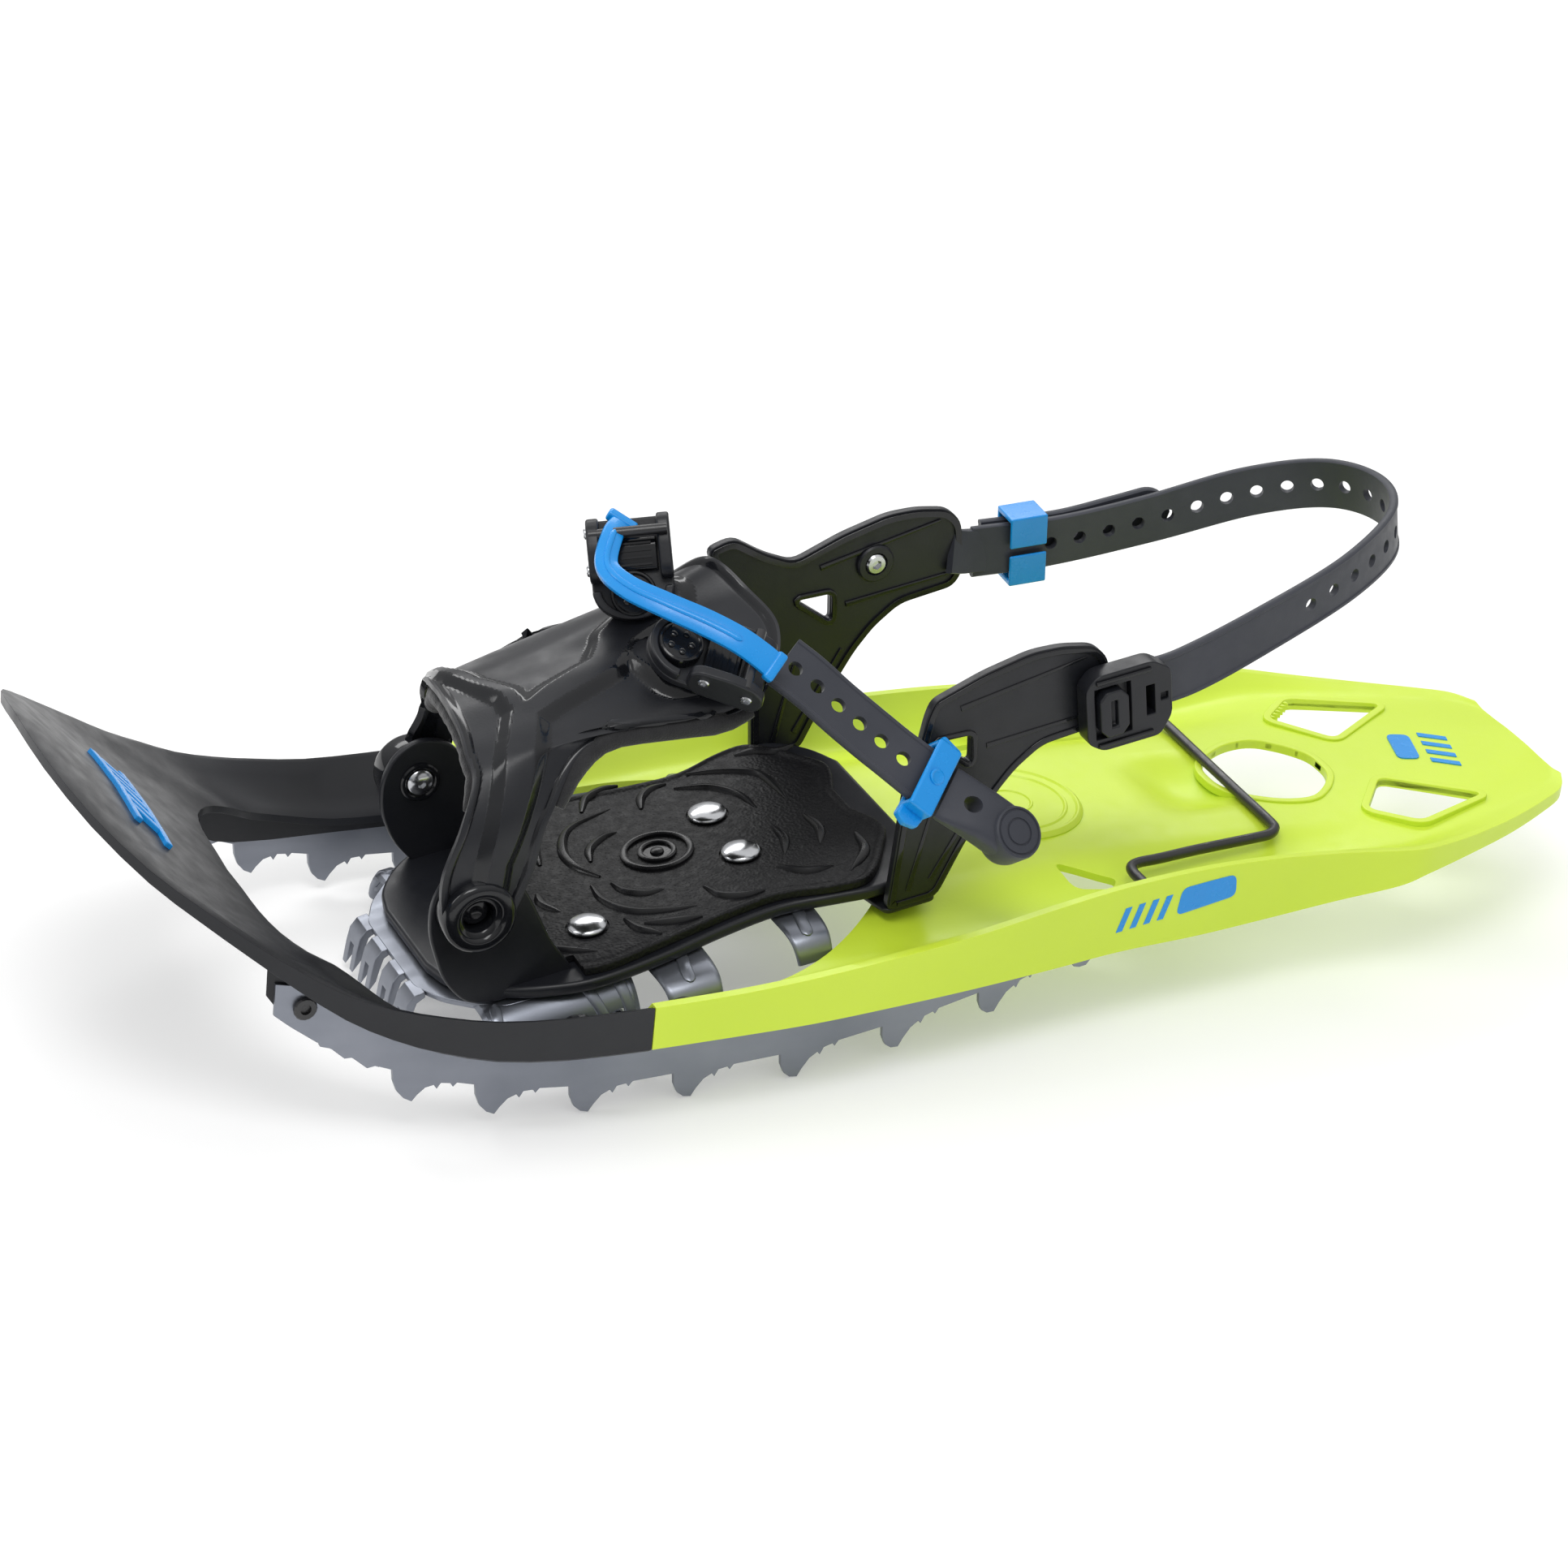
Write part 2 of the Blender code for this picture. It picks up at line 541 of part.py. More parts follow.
def rail_screw(name, sign):
    """Flanged rivet with a hollow centre, on the rail's outer face."""
    x, z = -226.5, 4.5
    y = rail_y(x) + RAIL_THICKNESS + GAP
    head = rod(name, (x, sign * y, z), (x, sign * (y + 1.6), z), 4.2, "black_steel", 16, 0.4)
    bore = rod("cutter", (x, sign * (y + 0.5), z), (x, sign * (y + 3), z), 2.0, "foam", 12)
    return combine(head, [bore], "DIFFERENCE")


def frame_rivets(solids):
    for side, sign in (("left", -1), ("right", 1)):
        for place, x in (("front", -131.0), ("rear", -92.0)):
            y = sign * 90.5
            top = [solid.ray_cast(Vector((x * MM, y * MM, 0.2)), Vector((0, 0, -1)))
                   for solid in solids]
            hit = next(found for found in top if found[0])
            normal = Vector(hit[1])
            centre = Vector((x, y, hit[0].z / MM)) + normal * 0.9
            dome_rivet(f"frame_rivet_{side}_{place}", centre, normal, 5.2, 2.6, "black_plastic")


def nose_badge():
    """Raised slanted plaque of three bars on the nose plate."""
    centre = Vector((-260.2, 0.0, 49.6))
    placed = frame_matrix(centre, (0.0, 1.0, 0.0), (0.66, 0.0, 0.75))
    plate = box("nose_badge", (62.0, 4.0, 2.2), placed, "blue_plastic")
    bars = []
    for shift, length in ((-6.5, 40.0), (6.5, 46.0)):
        moved = placed @ Matrix.Translation((shift * 0.8, shift, 0.0))
        bars.append(box("bar", (length, 4.0, 2.2), moved, "blue_plastic"))
    for step in range(-3, 4):
        moved = placed @ Matrix.Translation((step * 6.4, 0.0, 0.0)) @ Matrix.Rotation(0.9, 4, "Z")
        bars.append(box("bar", (20.0, 2.6, 2.0), moved, "blue_plastic"))
    return combine(plate, bars, "UNION")


def heel_lift_bail():
    x, _, z = BAIL_PIVOT
    half = [(x, -76.5, z), (x, -70.0, z), (x, -64.0, z), (x + 1.5, -59.5, z), (x + 6.0, -57.3, z),
            (x + 15.0, -56.4, z), (130.0, -53.9, z), (155.0, -51.2, z), (162.5, -50.0, z),
            (166.5, -47.0, z), (168.0, -42.0, z)]
    path = [Vector(p) for p in half] + [Vector((168.0, y, z)) for y in (-20.0, 0.0, 20.0)]
    path += [Vector((p[0], -p[1], p[2])) for p in reversed(half)]
    return tube("heel_lift_bail", path, BAIL_RADIUS, "black_steel", 10)


# ---------------------------------------------------------------- binding

def footplate():
    plate = prism("footplate", mirrored(BASE_OUTLINE), -8.0, -3.3, "black_plastic")
    ears = []
    for sign, (u, w) in ((-1, LEFT_BOSS), (1, RIGHT_BOSS)):
        outline = [(u - 9, -8.0), (u - 14, 10.0), (u - 14, w - 4), (u - 9, w + 10), (u + 1, w + 17),
                   (u + 14, w + 14), (u + 24, w - 6), (u + 34, 4.0), (u + EAR_REACH, -8.0)]
        low, high = sorted((sign * EAR_Y, sign * (EAR_Y + 3.0)))
        ears.append(side_prism("ear", outline, low, high, "black_plastic"))
    combine(plate, ears, "UNION")
    bores = [rod("cutter", (x, sign * y, -12.0), (x, sign * y, 4.0), 2.0, "foam", 10)
             for x, y in TREAD_RIVETS for sign in (-1, 1)]
    return combine(plate, bores, "DIFFERENCE")


def tread_pad():
    outline = mirrored(PAD_OUTLINE)
    pad = bevelled(prism("tread_pad", outline, -3.0, 0.0, "black_plastic"), 0.8)
    notches = []
    for sign, (u, _) in ((-1, LEFT_BOSS), (1, RIGHT_BOSS)):
        high = u + EAR_REACH + GAP
        size = (high + 50.0, 20.0, 8.0)
        centre = (high - size[0] / 2, sign * (EAR_Y - GAP + 10.0), -1.5)
        notches.append(box("cutter", size, Matrix.Translation(centre), "foam"))
    combine(pad, notches, "DIFFERENCE")
    ring_low = rod("rib", (32.0, 0.0, -1.0), (32.0, 0.0, 0.9), 14.0, "black_plastic", 28)
    squash = Matrix.Translation((32.0 * MM, 0, 0)) @ Matrix.Diagonal((1.0, 0.95, 1.0, 1.0))
    ring_low.data.transform(squash @ Matrix.Translation((-32.0 * MM, 0, 0)))
    return combine(pad, [ring_low], "UNION")


def toe_crampon():
    """Pressed steel: plate, side walls with an arch, front claws and two pairs of arms."""
    low, high = -11.0, -8.8
    centre = [(-70.0, 0.0), (-70.0, 30.0), (-60.0, 46.0), (-46.0, 55.0), (0.0, 55.0), (3.0, 73.0),
              (27.0, 72.0), (30.0, 46.0), (54.0, 34.0), (56.0, 66.0), (70.0, 65.0), (76.0, 30.0),
              (76.0, 0.0)]
    plate = prism("toe_crampon", mirrored(centre[1:-1]), low, high, "rail_steel")
    walls = []
    for sign in (1, -1):
        wall = [(-58.0, high), (-3.0, high), (-3.0, -31.0), (-9.0, -38.0), (-13.0, -30.0),
                (-20.0, -27.0), (-26.0, -34.0), (-32.0, -27.0), (-37.0, -24.0), (-43.0, -22.0),
                (-50.0, -24.0), (-55.0, -28.5), (-60.0, -22.0)]
        y_low, y_high = sorted((sign * 53.0, sign * 55.0))
        walls.append(side_prism("wall", wall, y_low, y_high, "rail_steel"))
        for u_low, u_high, reach in ((3.0, 27.0, 72.5), (56.0, 70.0, 65.5)):
            lip = [(u_low, high), (u_high, high), (u_high - 2.5, -17.0), (u_low + 2.5, -17.0)]
            y_low, y_high = sorted((sign * (reach - 2.0), sign * reach))
            walls.append(side_prism("lip", lip, y_low, y_high, "rail_steel"))
        claw = [(-70.0, high), (-68.0, high), (-72.0, -19.0), (-80.0, -24.0), (-78.0, -17.0)]
        for y in (3.0, 18.0):
            y_low, y_high = sorted((sign * y, sign * (y + 11.0)))
            walls.append(side_prism("claw", claw, y_low, y_high, "rail_steel"))
    combine(plate, walls, "UNION")
    u, _, w = PIVOT
    bore = rod("cutter", (u, -90.0, w), (u, 90.0, w), AXLE_RADIUS + GAP, "foam", 20)
    return combine(plate, [bore], "DIFFERENCE")


def cage_edges():
    front = spline([row[:3] for row in CAGE_ROWS], CAGE_STEPS)
    rear = spline([row[3:6] for row in CAGE_ROWS], CAGE_STEPS)
    return front, rear


def toe_cage():
    front, rear = cage_edges()
    proud = spline([(row[6], 0.0, 0.0) for row in CAGE_ROWS], CAGE_STEPS)
    build = bmesh.new()
    rows = []
    for start, end, lift in zip(front, rear, proud):
        row = []
        for k in range(CAGE_ACROSS + 1):
            share = k / CAGE_ACROSS
            point = start.lerp(end, share)
            away = Vector((0.0, point.y, max(point.z - 40.0, 0.0))).normalized()
            row.append(build.verts.new(point + away * lift.x * math.sin(math.pi * share)))
        rows.append(row)
    for row, following in zip(rows, rows[1:]):
        for k in range(CAGE_ACROSS):
            build.faces.new((row[k], following[k], following[k + 1], row[k + 1]))
    shell = make_object("toe_cage", build, "black_plastic", 40.0)
    step = shell.modifiers.new("skin", "SOLIDIFY")
    step.thickness = CAGE_SKIN * MM
    step.offset = 0.0
    bpy.context.view_layer.update()
    bake(shell)
    cutters = []
    for sign, (u, w) in ((-1, LEFT_BOSS), (1, RIGHT_BOSS)):
        start, end = (u, sign * 48.0, w), (u, sign * 66.0, w)
        cutters.append(rod("cutter", start, end, 13.4, "foam", 24))
        below = Matrix.Translation((u, sign * 57.0, w - 17.0))
        cutters.append(box("cutter", (44.0, 20.0, 40.0), below, "foam"))
    return combine(shell, cutters, "DIFFERENCE")


def cage_boss(name, sign, centre):
    """Hollow pivot boss at the lower end of a cage leg."""
    u, w = centre
    boss = rod(name, (u, sign * 50.0, w), (u, sign * 60.5, w), 13.0, "black_plastic", 22, 1.5)
    bore = rod("cutter", (u, sign * 40.0, w), (u, sign * 70.0, w), 5.8, "foam", 14)
    return combine(boss, [bore], "DIFFERENCE")


def cage_liners():
    front, rear = cage_edges()
    inward = []
    for start, end in zip(front, rear):
        away = Vector((0.0, start.y, max(start.z - 40.0, 0.0))).normalized()
        back = (end - start).normalized()
        inward.append(start - away * (LINER_RADIUS + CAGE_SKIN / 2 + 0.6) + back * 3.0)
    tube("liner_front", inward[9:34:2], LINER_RADIUS, "foam", 10)
    beyond = [point + Vector((2.5, 0.0, -LINER_RADIUS - 3.0)) for point in rear]
    tube("liner_left", beyond[7:13], LINER_RADIUS, "foam", 10)
    tube("liner_right", beyond[31:38], LINER_RADIUS, "foam", 10)


BUCKLES = {
    "left": (frame_matrix((47.0, -34.4, 91.8), (0.80, -0.42, -0.42), (0.30, -0.62, 0.75)), -1),
    "right": (frame_matrix((44.0, 23.0, 108.0), (0.90, 0.30, 0.12), (-0.15, 0.25, 1.0)), 1),
}


def buckle(side):
    """Base plate, two cheeks, roller, round cap and two socket screws."""
    placed, sign = BUCKLES[side]
    shift = Matrix.Translation

    def name(piece):
        return f"buckle_{piece}_{side}"
    box(name("base"), (42.0, 27.0, 3.4), placed @ shift((-2.0, 0.0, 0.0)), "black_plastic", 1.2)
    for label, y in (("outer", sign), ("inner", -sign)):
        cheek = placed @ shift((6.0, y * 11.4, 6.4))
        made = box(name(f"cheek_{label}"), (25.0, 4.0, 8.0), cheek, "black_plastic", 1.4)
        middle = placed @ Vector((11.0, 0.0, 6.6))
        across = (placed.to_3x3() @ Vector((0.0, 1.0, 0.0))) * 20.0
        bore = rod("cutter", middle - across, middle + across, 2.6, "foam", 14)
        combine(made, [bore], "DIFFERENCE")
    half = (placed.to_3x3() @ Vector((0.0, 1.0, 0.0))) * 13.0
    middle = placed @ Vector((11.0, 0.0, 6.6))
    rod(name("roller"), middle - half, middle + half, 2.2, "black_steel", 14)
    up = placed.to_3x3() @ Vector((0.0, 0.0, 1.0))
    foot = placed @ Vector((-13.5, 0.0, 2.3))
    rod(name("cap"), foot, foot + up * 4.4, 7.4, "black_plastic", 16, 0.8)
    for label, x in (("front", -2.5), ("rear", 14.5)):
        start = placed @ Vector((x, sign * 13.7, 6.4))
        out = placed.to_3x3() @ Vector((0.0, sign * 1.0, 0.0))
        rod(name(f"screw_{label}"), start, start + out * 0.9, 1.9, "bright_steel", 12)


def instep_strap():
    path = spline(INSTEP_STRAP, 4)
    facing = steady(STRAP_FACE)
    strap = strip("instep_strap", path, INSTEP_WIDTH, STRAP_THICKNESS, facing, "slate_rubber")
    punch_along(strap, path, 5.0, 9.8, 6, 2.6, facing)


def strap_direction():
    return (Vector(INSTEP_STRAP[-1]) - Vector(INSTEP_STRAP[-2])).normalized()


def instep_clip():
    """Blue sliding loop round the instep strap."""
    along = strap_direction()
    centre = Vector(INSTEP_STRAP[-1]) - along * 7.0
    placed = frame_matrix(centre, along, STRAP_FACE)
    clip = box("instep_clip", (10.0, 28.5, 9.6), placed, "blue_plastic", 1.5)
    slot = box("cutter", (20.0, INSTEP_WIDTH + 1.4, STRAP_THICKNESS + 1.6), placed, "foam")
    return combine(clip, [slot], "DIFFERENCE")


def strap_handle():
    """Grip moulded on the end of the instep strap, with a hanging hole."""
    along = Vector((0.60, -0.42, -0.68)).normalized()
    start = Vector(INSTEP_STRAP[-1]) + strap_direction() * 2.0
    placed = frame_matrix(start, along, STRAP_FACE)
    rings = []
    for reach, half, thick in ((0.0, 10.4, 2.2), (5.0, 10.4, 4.0), (11.0, 9.6, 6.4),
                               (18.0, 9.0, 8.6), (27.0, 9.0, 9.0)):
        ring = []
        for k in range(16):
            angle = 2 * math.pi * k / 16
            ring.append(placed @ Vector((reach, half * math.cos(angle), thick * math.sin(angle))))
        rings.append(ring)
    handle = ring_loft("strap_handle", rings, "slate_rubber", 45.0)
    normal = placed.to_3x3() @ Vector((0.0, 0.0, 14.0))
    centre = placed @ Vector((7.5, 0.0, 0.0))
    bore = rod("cutter", centre - normal, centre + normal, 3.0, "foam", 12)
    combine(handle, [bore], "DIFFERENCE")
    foot = placed @ Vector((27.0 + GAP, 0.0, 0.0))
    direction = placed.to_3x3() @ Vector((1.0, 0.0, 0.0))
    rod("handle_cap", foot, foot + direction * 2.0, 8.6, "slate_rubber", 16, 0.6)


def heel_yoke():
    floor = [(52.0, 26.0), (88.0, 30.0), (94.0, WING_Y + WING_THICKNESS),
             (114.0, WING_Y + WING_THICKNESS), (114.0, 44.0)]
    yoke = prism("heel_yoke", mirrored(floor), -13.5, -11.4, "black_plastic")
    walls = []
    for sign in (1, -1):
        low, high = sorted((sign * WING_Y, sign * (WING_Y + WING_THICKNESS)))
        outline = [*WING_OUTLINE, *(WING_FRONT_ARM if sign > 0 else WING_FRONT_STUB)]
        wall = side_prism("wing", outline, low, high, "black_plastic")
        hole = side_prism("cutter", WING_WINDOW, low - 5, high + 5, "foam")
        walls.append(combine(wall, [hole], "DIFFERENCE"))
    return combine(yoke, walls, "UNION")


def heel_yoke_rivets():
    for side, sign in (("left", -1), ("right", 1)):
        y = sign * (WING_Y - 0.4)
        dome_rivet(f"wing_rivet_{side}", (150.0, y, 58.0), (0.0, -sign, 0.0), 7.4, 2.4,
                   "bright_steel")


def heel_strap():
    path = spline(HEEL_STRAP, 4)
    facing = outward(240.0)
    strap = strip("heel_strap", path, HEEL_WIDTH, STRAP_THICKNESS, facing, "slate_rubber")
    punch_along(strap, path, 82.0, 11.8, 20, 2.5, facing)
    tail_path = spline(HEEL_STRAP_TAIL, 4)
    strip("heel_strap_tail", tail_path, HEEL_WIDTH, STRAP_THICKNESS, facing, "slate_rubber")


def heel_buckle():
    """Frame of the left heel buckle, and its hinged latch plate."""
    placed = frame_matrix((189.5, -66.4, 49.0), (1.0, 0.0, 0.0), (0.0, -1.0, 0.0))
    body = box("heel_buckle", (34.0, 31.0, 7.6), placed, "black_plastic", 1.6)
    well = box("cutter", (14.2, 20.0, 6.0), placed @ Matrix.Translation((-6.4, 0.0, 3.6)), "foam")
    combine(body, [well], "DIFFERENCE")
    latch = placed @ Matrix.Translation((-7.0, 0.0, 3.4))
    box("heel_latch", (11.6, 18.6, 4.4), latch, "black_plastic", 1.0)


def strap_keeper():
    """Blue double loop that holds the strap's loose end."""
    placed = frame_matrix((212.0, 60.2, 46.9), (-0.994, 0.055, 0.09), (0.06, 1.0, 0.0))
    keeper = box("strap_keeper", (15.0, 28.0, 13.6), placed, "blue_plastic", 1.4)
    slot = box("cutter", (30.0, HEEL_WIDTH + 3.2, 10.4), placed, "foam")
    return combine(keeper, [slot], "DIFFERENCE")


def quick_lever():
    path = spline(LEVER_PATH, 4)
    strip("quick_lever", path, LEVER_WIDTH, 2.8, steady((-0.05, -0.72, 0.69)), "blue_plastic")


def tread_rivets():
    for place, (u, y) in zip(("front", "rear"), TREAD_RIVETS):
        for side, sign in (("left", -1), ("right", 1)):
            dome_rivet(f"tread_rivet_{side}_{place}", (u, sign * y, GAP), (0.0, 0.0, 1.0), 7.2,
                       2.4, "bright_steel", 14)


def ear_rivets():
    for side, sign, (u, w) in (("left", -1, LEFT_BOSS), ("right", 1, RIGHT_BOSS)):
        dome_rivet(f"ear_rivet_{side}", (u, sign * (EAR_Y - GAP), w), (0.0, -sign, 0.0), 5.0, 2.4,
                   "bright_steel", 12)


# ---------------------------------------------------------------- assembly

def attach(children, holder, origin):
    """Parent pieces drawn about `origin` to an empty that carries place and tilt."""
    for child in children:
        child.data.transform(Matrix.Translation(-Vector(origin) * MM))
        child.parent = holder


def pivot_hardware(axle_point):
    """Axle and its two bushes, on the frame."""
    x, _, z = axle_point
    reach = rail_y(x) - 1.2
    rod("pivot_axle", (x, -reach, z), (x, reach, z), AXLE_RADIUS, "bright_steel", 20)
    for side, sign in (("left", -1), ("right", 1)):
        start = (x, sign * (rail_y(x) - 9.0), z)
        end = (x, sign * (rail_y(x) - GAP), z)
        bush = rod(f"axle_bush_{side}", start, end, 5.0, "black_plastic", 20, 0.6)
        inner = (x, sign * (rail_y(x) - 12.0), z)
        outer = (x, sign * (reach + 0.4), z)
        bore = rod("cutter", inner, outer, AXLE_RADIUS + GAP, "foam", 20)
        combine(bush, [bore], "DIFFERENCE")


def solid_tree(target):
    graph = bpy.context.evaluated_depsgraph_get()
    return BVHTree.FromObject(target, graph)


def build():
    clear_scene()
    deck, nose = tail_deck(), nose_frame()
    solids = [solid_tree(deck), solid_tree(nose)]
    for side, sign in (("left", -1), ("right", 1)):
        traction_rail(f"traction_rail_{side}", sign, solids)
        rail_screw(f"rail_screw_{side}", sign)
    frame_rivets(solids)
    nose_badge()
    tilt = Matrix.Rotation(-BINDING_TILT, 4, "Y")
    axle_point = Matrix.Translation(BINDING_ORIGIN) @ tilt @ Vector(PIVOT)
    pivot_hardware(axle_point)
    bail = heel_lift_bail()
    fixed = set(bpy.data.objects)
    footplate()
    tread_pad()
    tread_rivets()
    toe_crampon()
    ear_rivets()
    toe_cage()
    cage_boss("cage_boss_left", -1, LEFT_BOSS)
    cage_boss("cage_boss_right", 1, RIGHT_BOSS)
    cage_liners()
    buckle("left")
    buckle("right")
    instep_strap()
    instep_clip()
    strap_handle()
    heel_yoke()
    heel_yoke_rivets()
    heel_buckle()
    heel_strap()
    strap_keeper()
    quick_lever()
    moving = [piece for piece in bpy.data.objects if piece not in fixed]

    stand = bpy.data.objects.new("deck_datum", None)
    stand.location = (CENTRE_SHIFT * MM, 0.0, DECK_HEIGHT * MM)
    bpy.context.scene.collection.objects.link(stand)
    holder = bpy.data.objects.new("binding_axis", None)
    holder.location = axle_point * MM
    holder.rotation_euler = Euler((0.0, -BINDING_TILT, 0.0))
    holder.parent = stand
    bpy.context.scene.collection.objects.link(holder)
    attach(moving, holder, PIVOT)
    hinge = bpy.data.objects.new("heel_lift_axis", None)
    hinge.location = Vector(BAIL_PIVOT) * MM
    hinge.parent = stand
    bpy.context.scene.collection.objects.link(hinge)
    attach([bail], hinge, BAIL_PIVOT)
    for piece in fixed - {bail}:
        piece.parent = stand


build()
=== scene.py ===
"""Finer pieces, materials, floor, lights and camera for the snowshoe, in the CAD's frame."""
import json
import math

import bmesh
import bpy
from mathutils import Matrix, Vector
from mathutils.bvhtree import BVHTree


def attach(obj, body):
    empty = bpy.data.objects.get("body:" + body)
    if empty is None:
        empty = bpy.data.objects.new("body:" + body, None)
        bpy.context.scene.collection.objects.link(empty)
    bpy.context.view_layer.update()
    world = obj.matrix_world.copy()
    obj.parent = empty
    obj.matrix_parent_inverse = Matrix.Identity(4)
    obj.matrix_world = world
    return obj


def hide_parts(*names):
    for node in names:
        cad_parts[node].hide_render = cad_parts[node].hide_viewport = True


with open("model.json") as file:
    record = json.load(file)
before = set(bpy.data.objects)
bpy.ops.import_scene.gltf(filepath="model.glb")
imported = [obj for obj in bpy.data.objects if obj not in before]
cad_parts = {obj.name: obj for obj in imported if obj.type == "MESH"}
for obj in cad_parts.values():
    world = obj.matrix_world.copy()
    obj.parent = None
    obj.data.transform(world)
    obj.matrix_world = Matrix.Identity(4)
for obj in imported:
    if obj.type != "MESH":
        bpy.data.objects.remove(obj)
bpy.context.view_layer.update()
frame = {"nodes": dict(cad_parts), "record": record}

MM = 0.001
SHIFT_X = 1.0                   # mm from deck coordinates to the frame, along x
DECK_Z = 48.0                   # mm from deck coordinates to the frame, along z

# ---------------------------------------------------------------- camera and stage

AZIMUTH = math.radians(-27.22)
ELEVATION = math.radians(27.11)
ROLL = math.radians(6.09)
DISTANCE = 1.8067
TARGET = Vector((-0.01411, 0.0, 0.06949))
LENS = 114.3
SENSOR = 36.0
FLOOR_HALF = 6.0                # m, half the floor's side
FLOOR_DROP = 0.0004             # m below the lowest tooth
FLOOR_GLOW = 0.30
SKY_FADE = {"From Min": 0.0, "From Max": 0.9, "To Min": 0.30, "To Max": 0.92}
# name, place, target, size and power
LAMPS = (("key", (-0.5, -0.6, 1.5), (0, 0, 0.05), (0.9, 0.5), 9.0),
         ("rear", (0.2, 1.3, 1.1), (0, 0, 0.05), (1.8, 0.35), 9.0),
         ("side", (-1.6, 0.4, 0.9), (0, 0, 0.08), (0.35, 1.2), 5.0))


def camera():
    """Camera on a sphere round the target, rolled about its own line of sight."""
    data = bpy.data.cameras.new("camera")
    data.lens = LENS
    data.sensor_width = SENSOR
    data.clip_end = 50.0
    back = Vector((math.sin(AZIMUTH) * math.cos(ELEVATION),
                   -math.cos(AZIMUTH) * math.cos(ELEVATION), math.sin(ELEVATION)))
    right = Vector((math.cos(AZIMUTH), math.sin(AZIMUTH), 0.0))
    up = back.cross(right)
    across = right * math.cos(ROLL) + up * math.sin(ROLL)
    upward = up * math.cos(ROLL) - right * math.sin(ROLL)
    made = bpy.data.objects.new("camera", data)
    turn = Matrix((across, upward, back)).transposed().to_4x4()
    made.matrix_world = Matrix.Translation(TARGET + back * DISTANCE) @ turn
    bpy.context.scene.collection.objects.link(made)
    bpy.context.scene.camera = made


def area_light(name, place, target, size, power):
    """Rectangular lamp aimed at a target."""
    data = bpy.data.lights.new(name, "AREA")
    data.shape = "RECTANGLE"
    data.size, data.size_y = size
    data.energy = power
    made = bpy.data.objects.new(name, data)
    aim = (Vector(target) - Vector(place)).to_track_quat("-Z", "Y")
    made.matrix_world = Matrix.Translation(place) @ aim.to_matrix().to_4x4()
    bpy.context.scene.collection.objects.link(made)


def ground():
    """Pale matt floor with a faint cloud of tone, just under the lowest teeth."""
    build = bmesh.new()
    bmesh.ops.create_grid(build, x_segments=1, y_segments=1, size=FLOOR_HALF)
    bmesh.ops.translate(build, vec=(0, 0, -FLOOR_DROP), verts=build.verts)
    mesh = bpy.data.meshes.new("floor")
    build.to_mesh(mesh)
    made = bpy.data.objects.new("floor", mesh)
    bpy.context.scene.collection.objects.link(made)
    look = bpy.data.materials.new("floor")
    look.use_nodes = True
    nodes, links = look.node_tree.nodes, look.node_tree.links
    shader = nodes["Principled BSDF"]
    grain = nodes.new("ShaderNodeTexNoise")
    grain.inputs["Scale"].default_value = 3.0
    tone = nodes.new("ShaderNodeMix")
    tone.data_type = "RGBA"
    tone.inputs["A"].default_value = (0.71, 0.71, 0.71, 1)
    tone.inputs["B"].default_value = (0.73, 0.73, 0.73, 1)
    links.new(grain.outputs["Fac"], tone.inputs["Factor"])
    links.new(tone.outputs["Result"], shader.inputs["Base Color"])
    shader.inputs["Emission Color"].default_value = (1, 1, 1, 1)
    shader.inputs["Emission Strength"].default_value = FLOOR_GLOW
    shader.inputs["Roughness"].default_value = 0.9
    shader.inputs["Specular IOR Level"].default_value = 0.1
    mesh.materials.append(look)


def backdrop():
    """White surroundings, dimmer at the horizon than overhead."""
    world = bpy.data.worlds.new("studio")
    world.use_nodes = True
    nodes, links = world.node_tree.nodes, world.node_tree.links
    sky = nodes["Background"]
    coords = nodes.new("ShaderNodeTexCoord")
    split = nodes.new("ShaderNodeSeparateXYZ")
    fade = nodes.new("ShaderNodeMapRange")
    for key, value in SKY_FADE.items():
        fade.inputs[key].default_value = value
    links.new(coords.outputs["Generated"], split.inputs["Vector"])
    links.new(split.outputs["Z"], fade.inputs["Value"])
    links.new(fade.outputs["Result"], sky.inputs["Strength"])
    sky.inputs["Color"].default_value = (1, 1, 1, 1)
    bpy.context.scene.world = world


def stage():
    """Floor, surroundings and three soft lamps."""
    ground()
    backdrop()
    for name, place, target, size, power in LAMPS:
        area_light(name, place, target, size, power)
    bpy.context.scene.view_settings.view_transform = "Standard"


# ---------------------------------------------------------------- materials

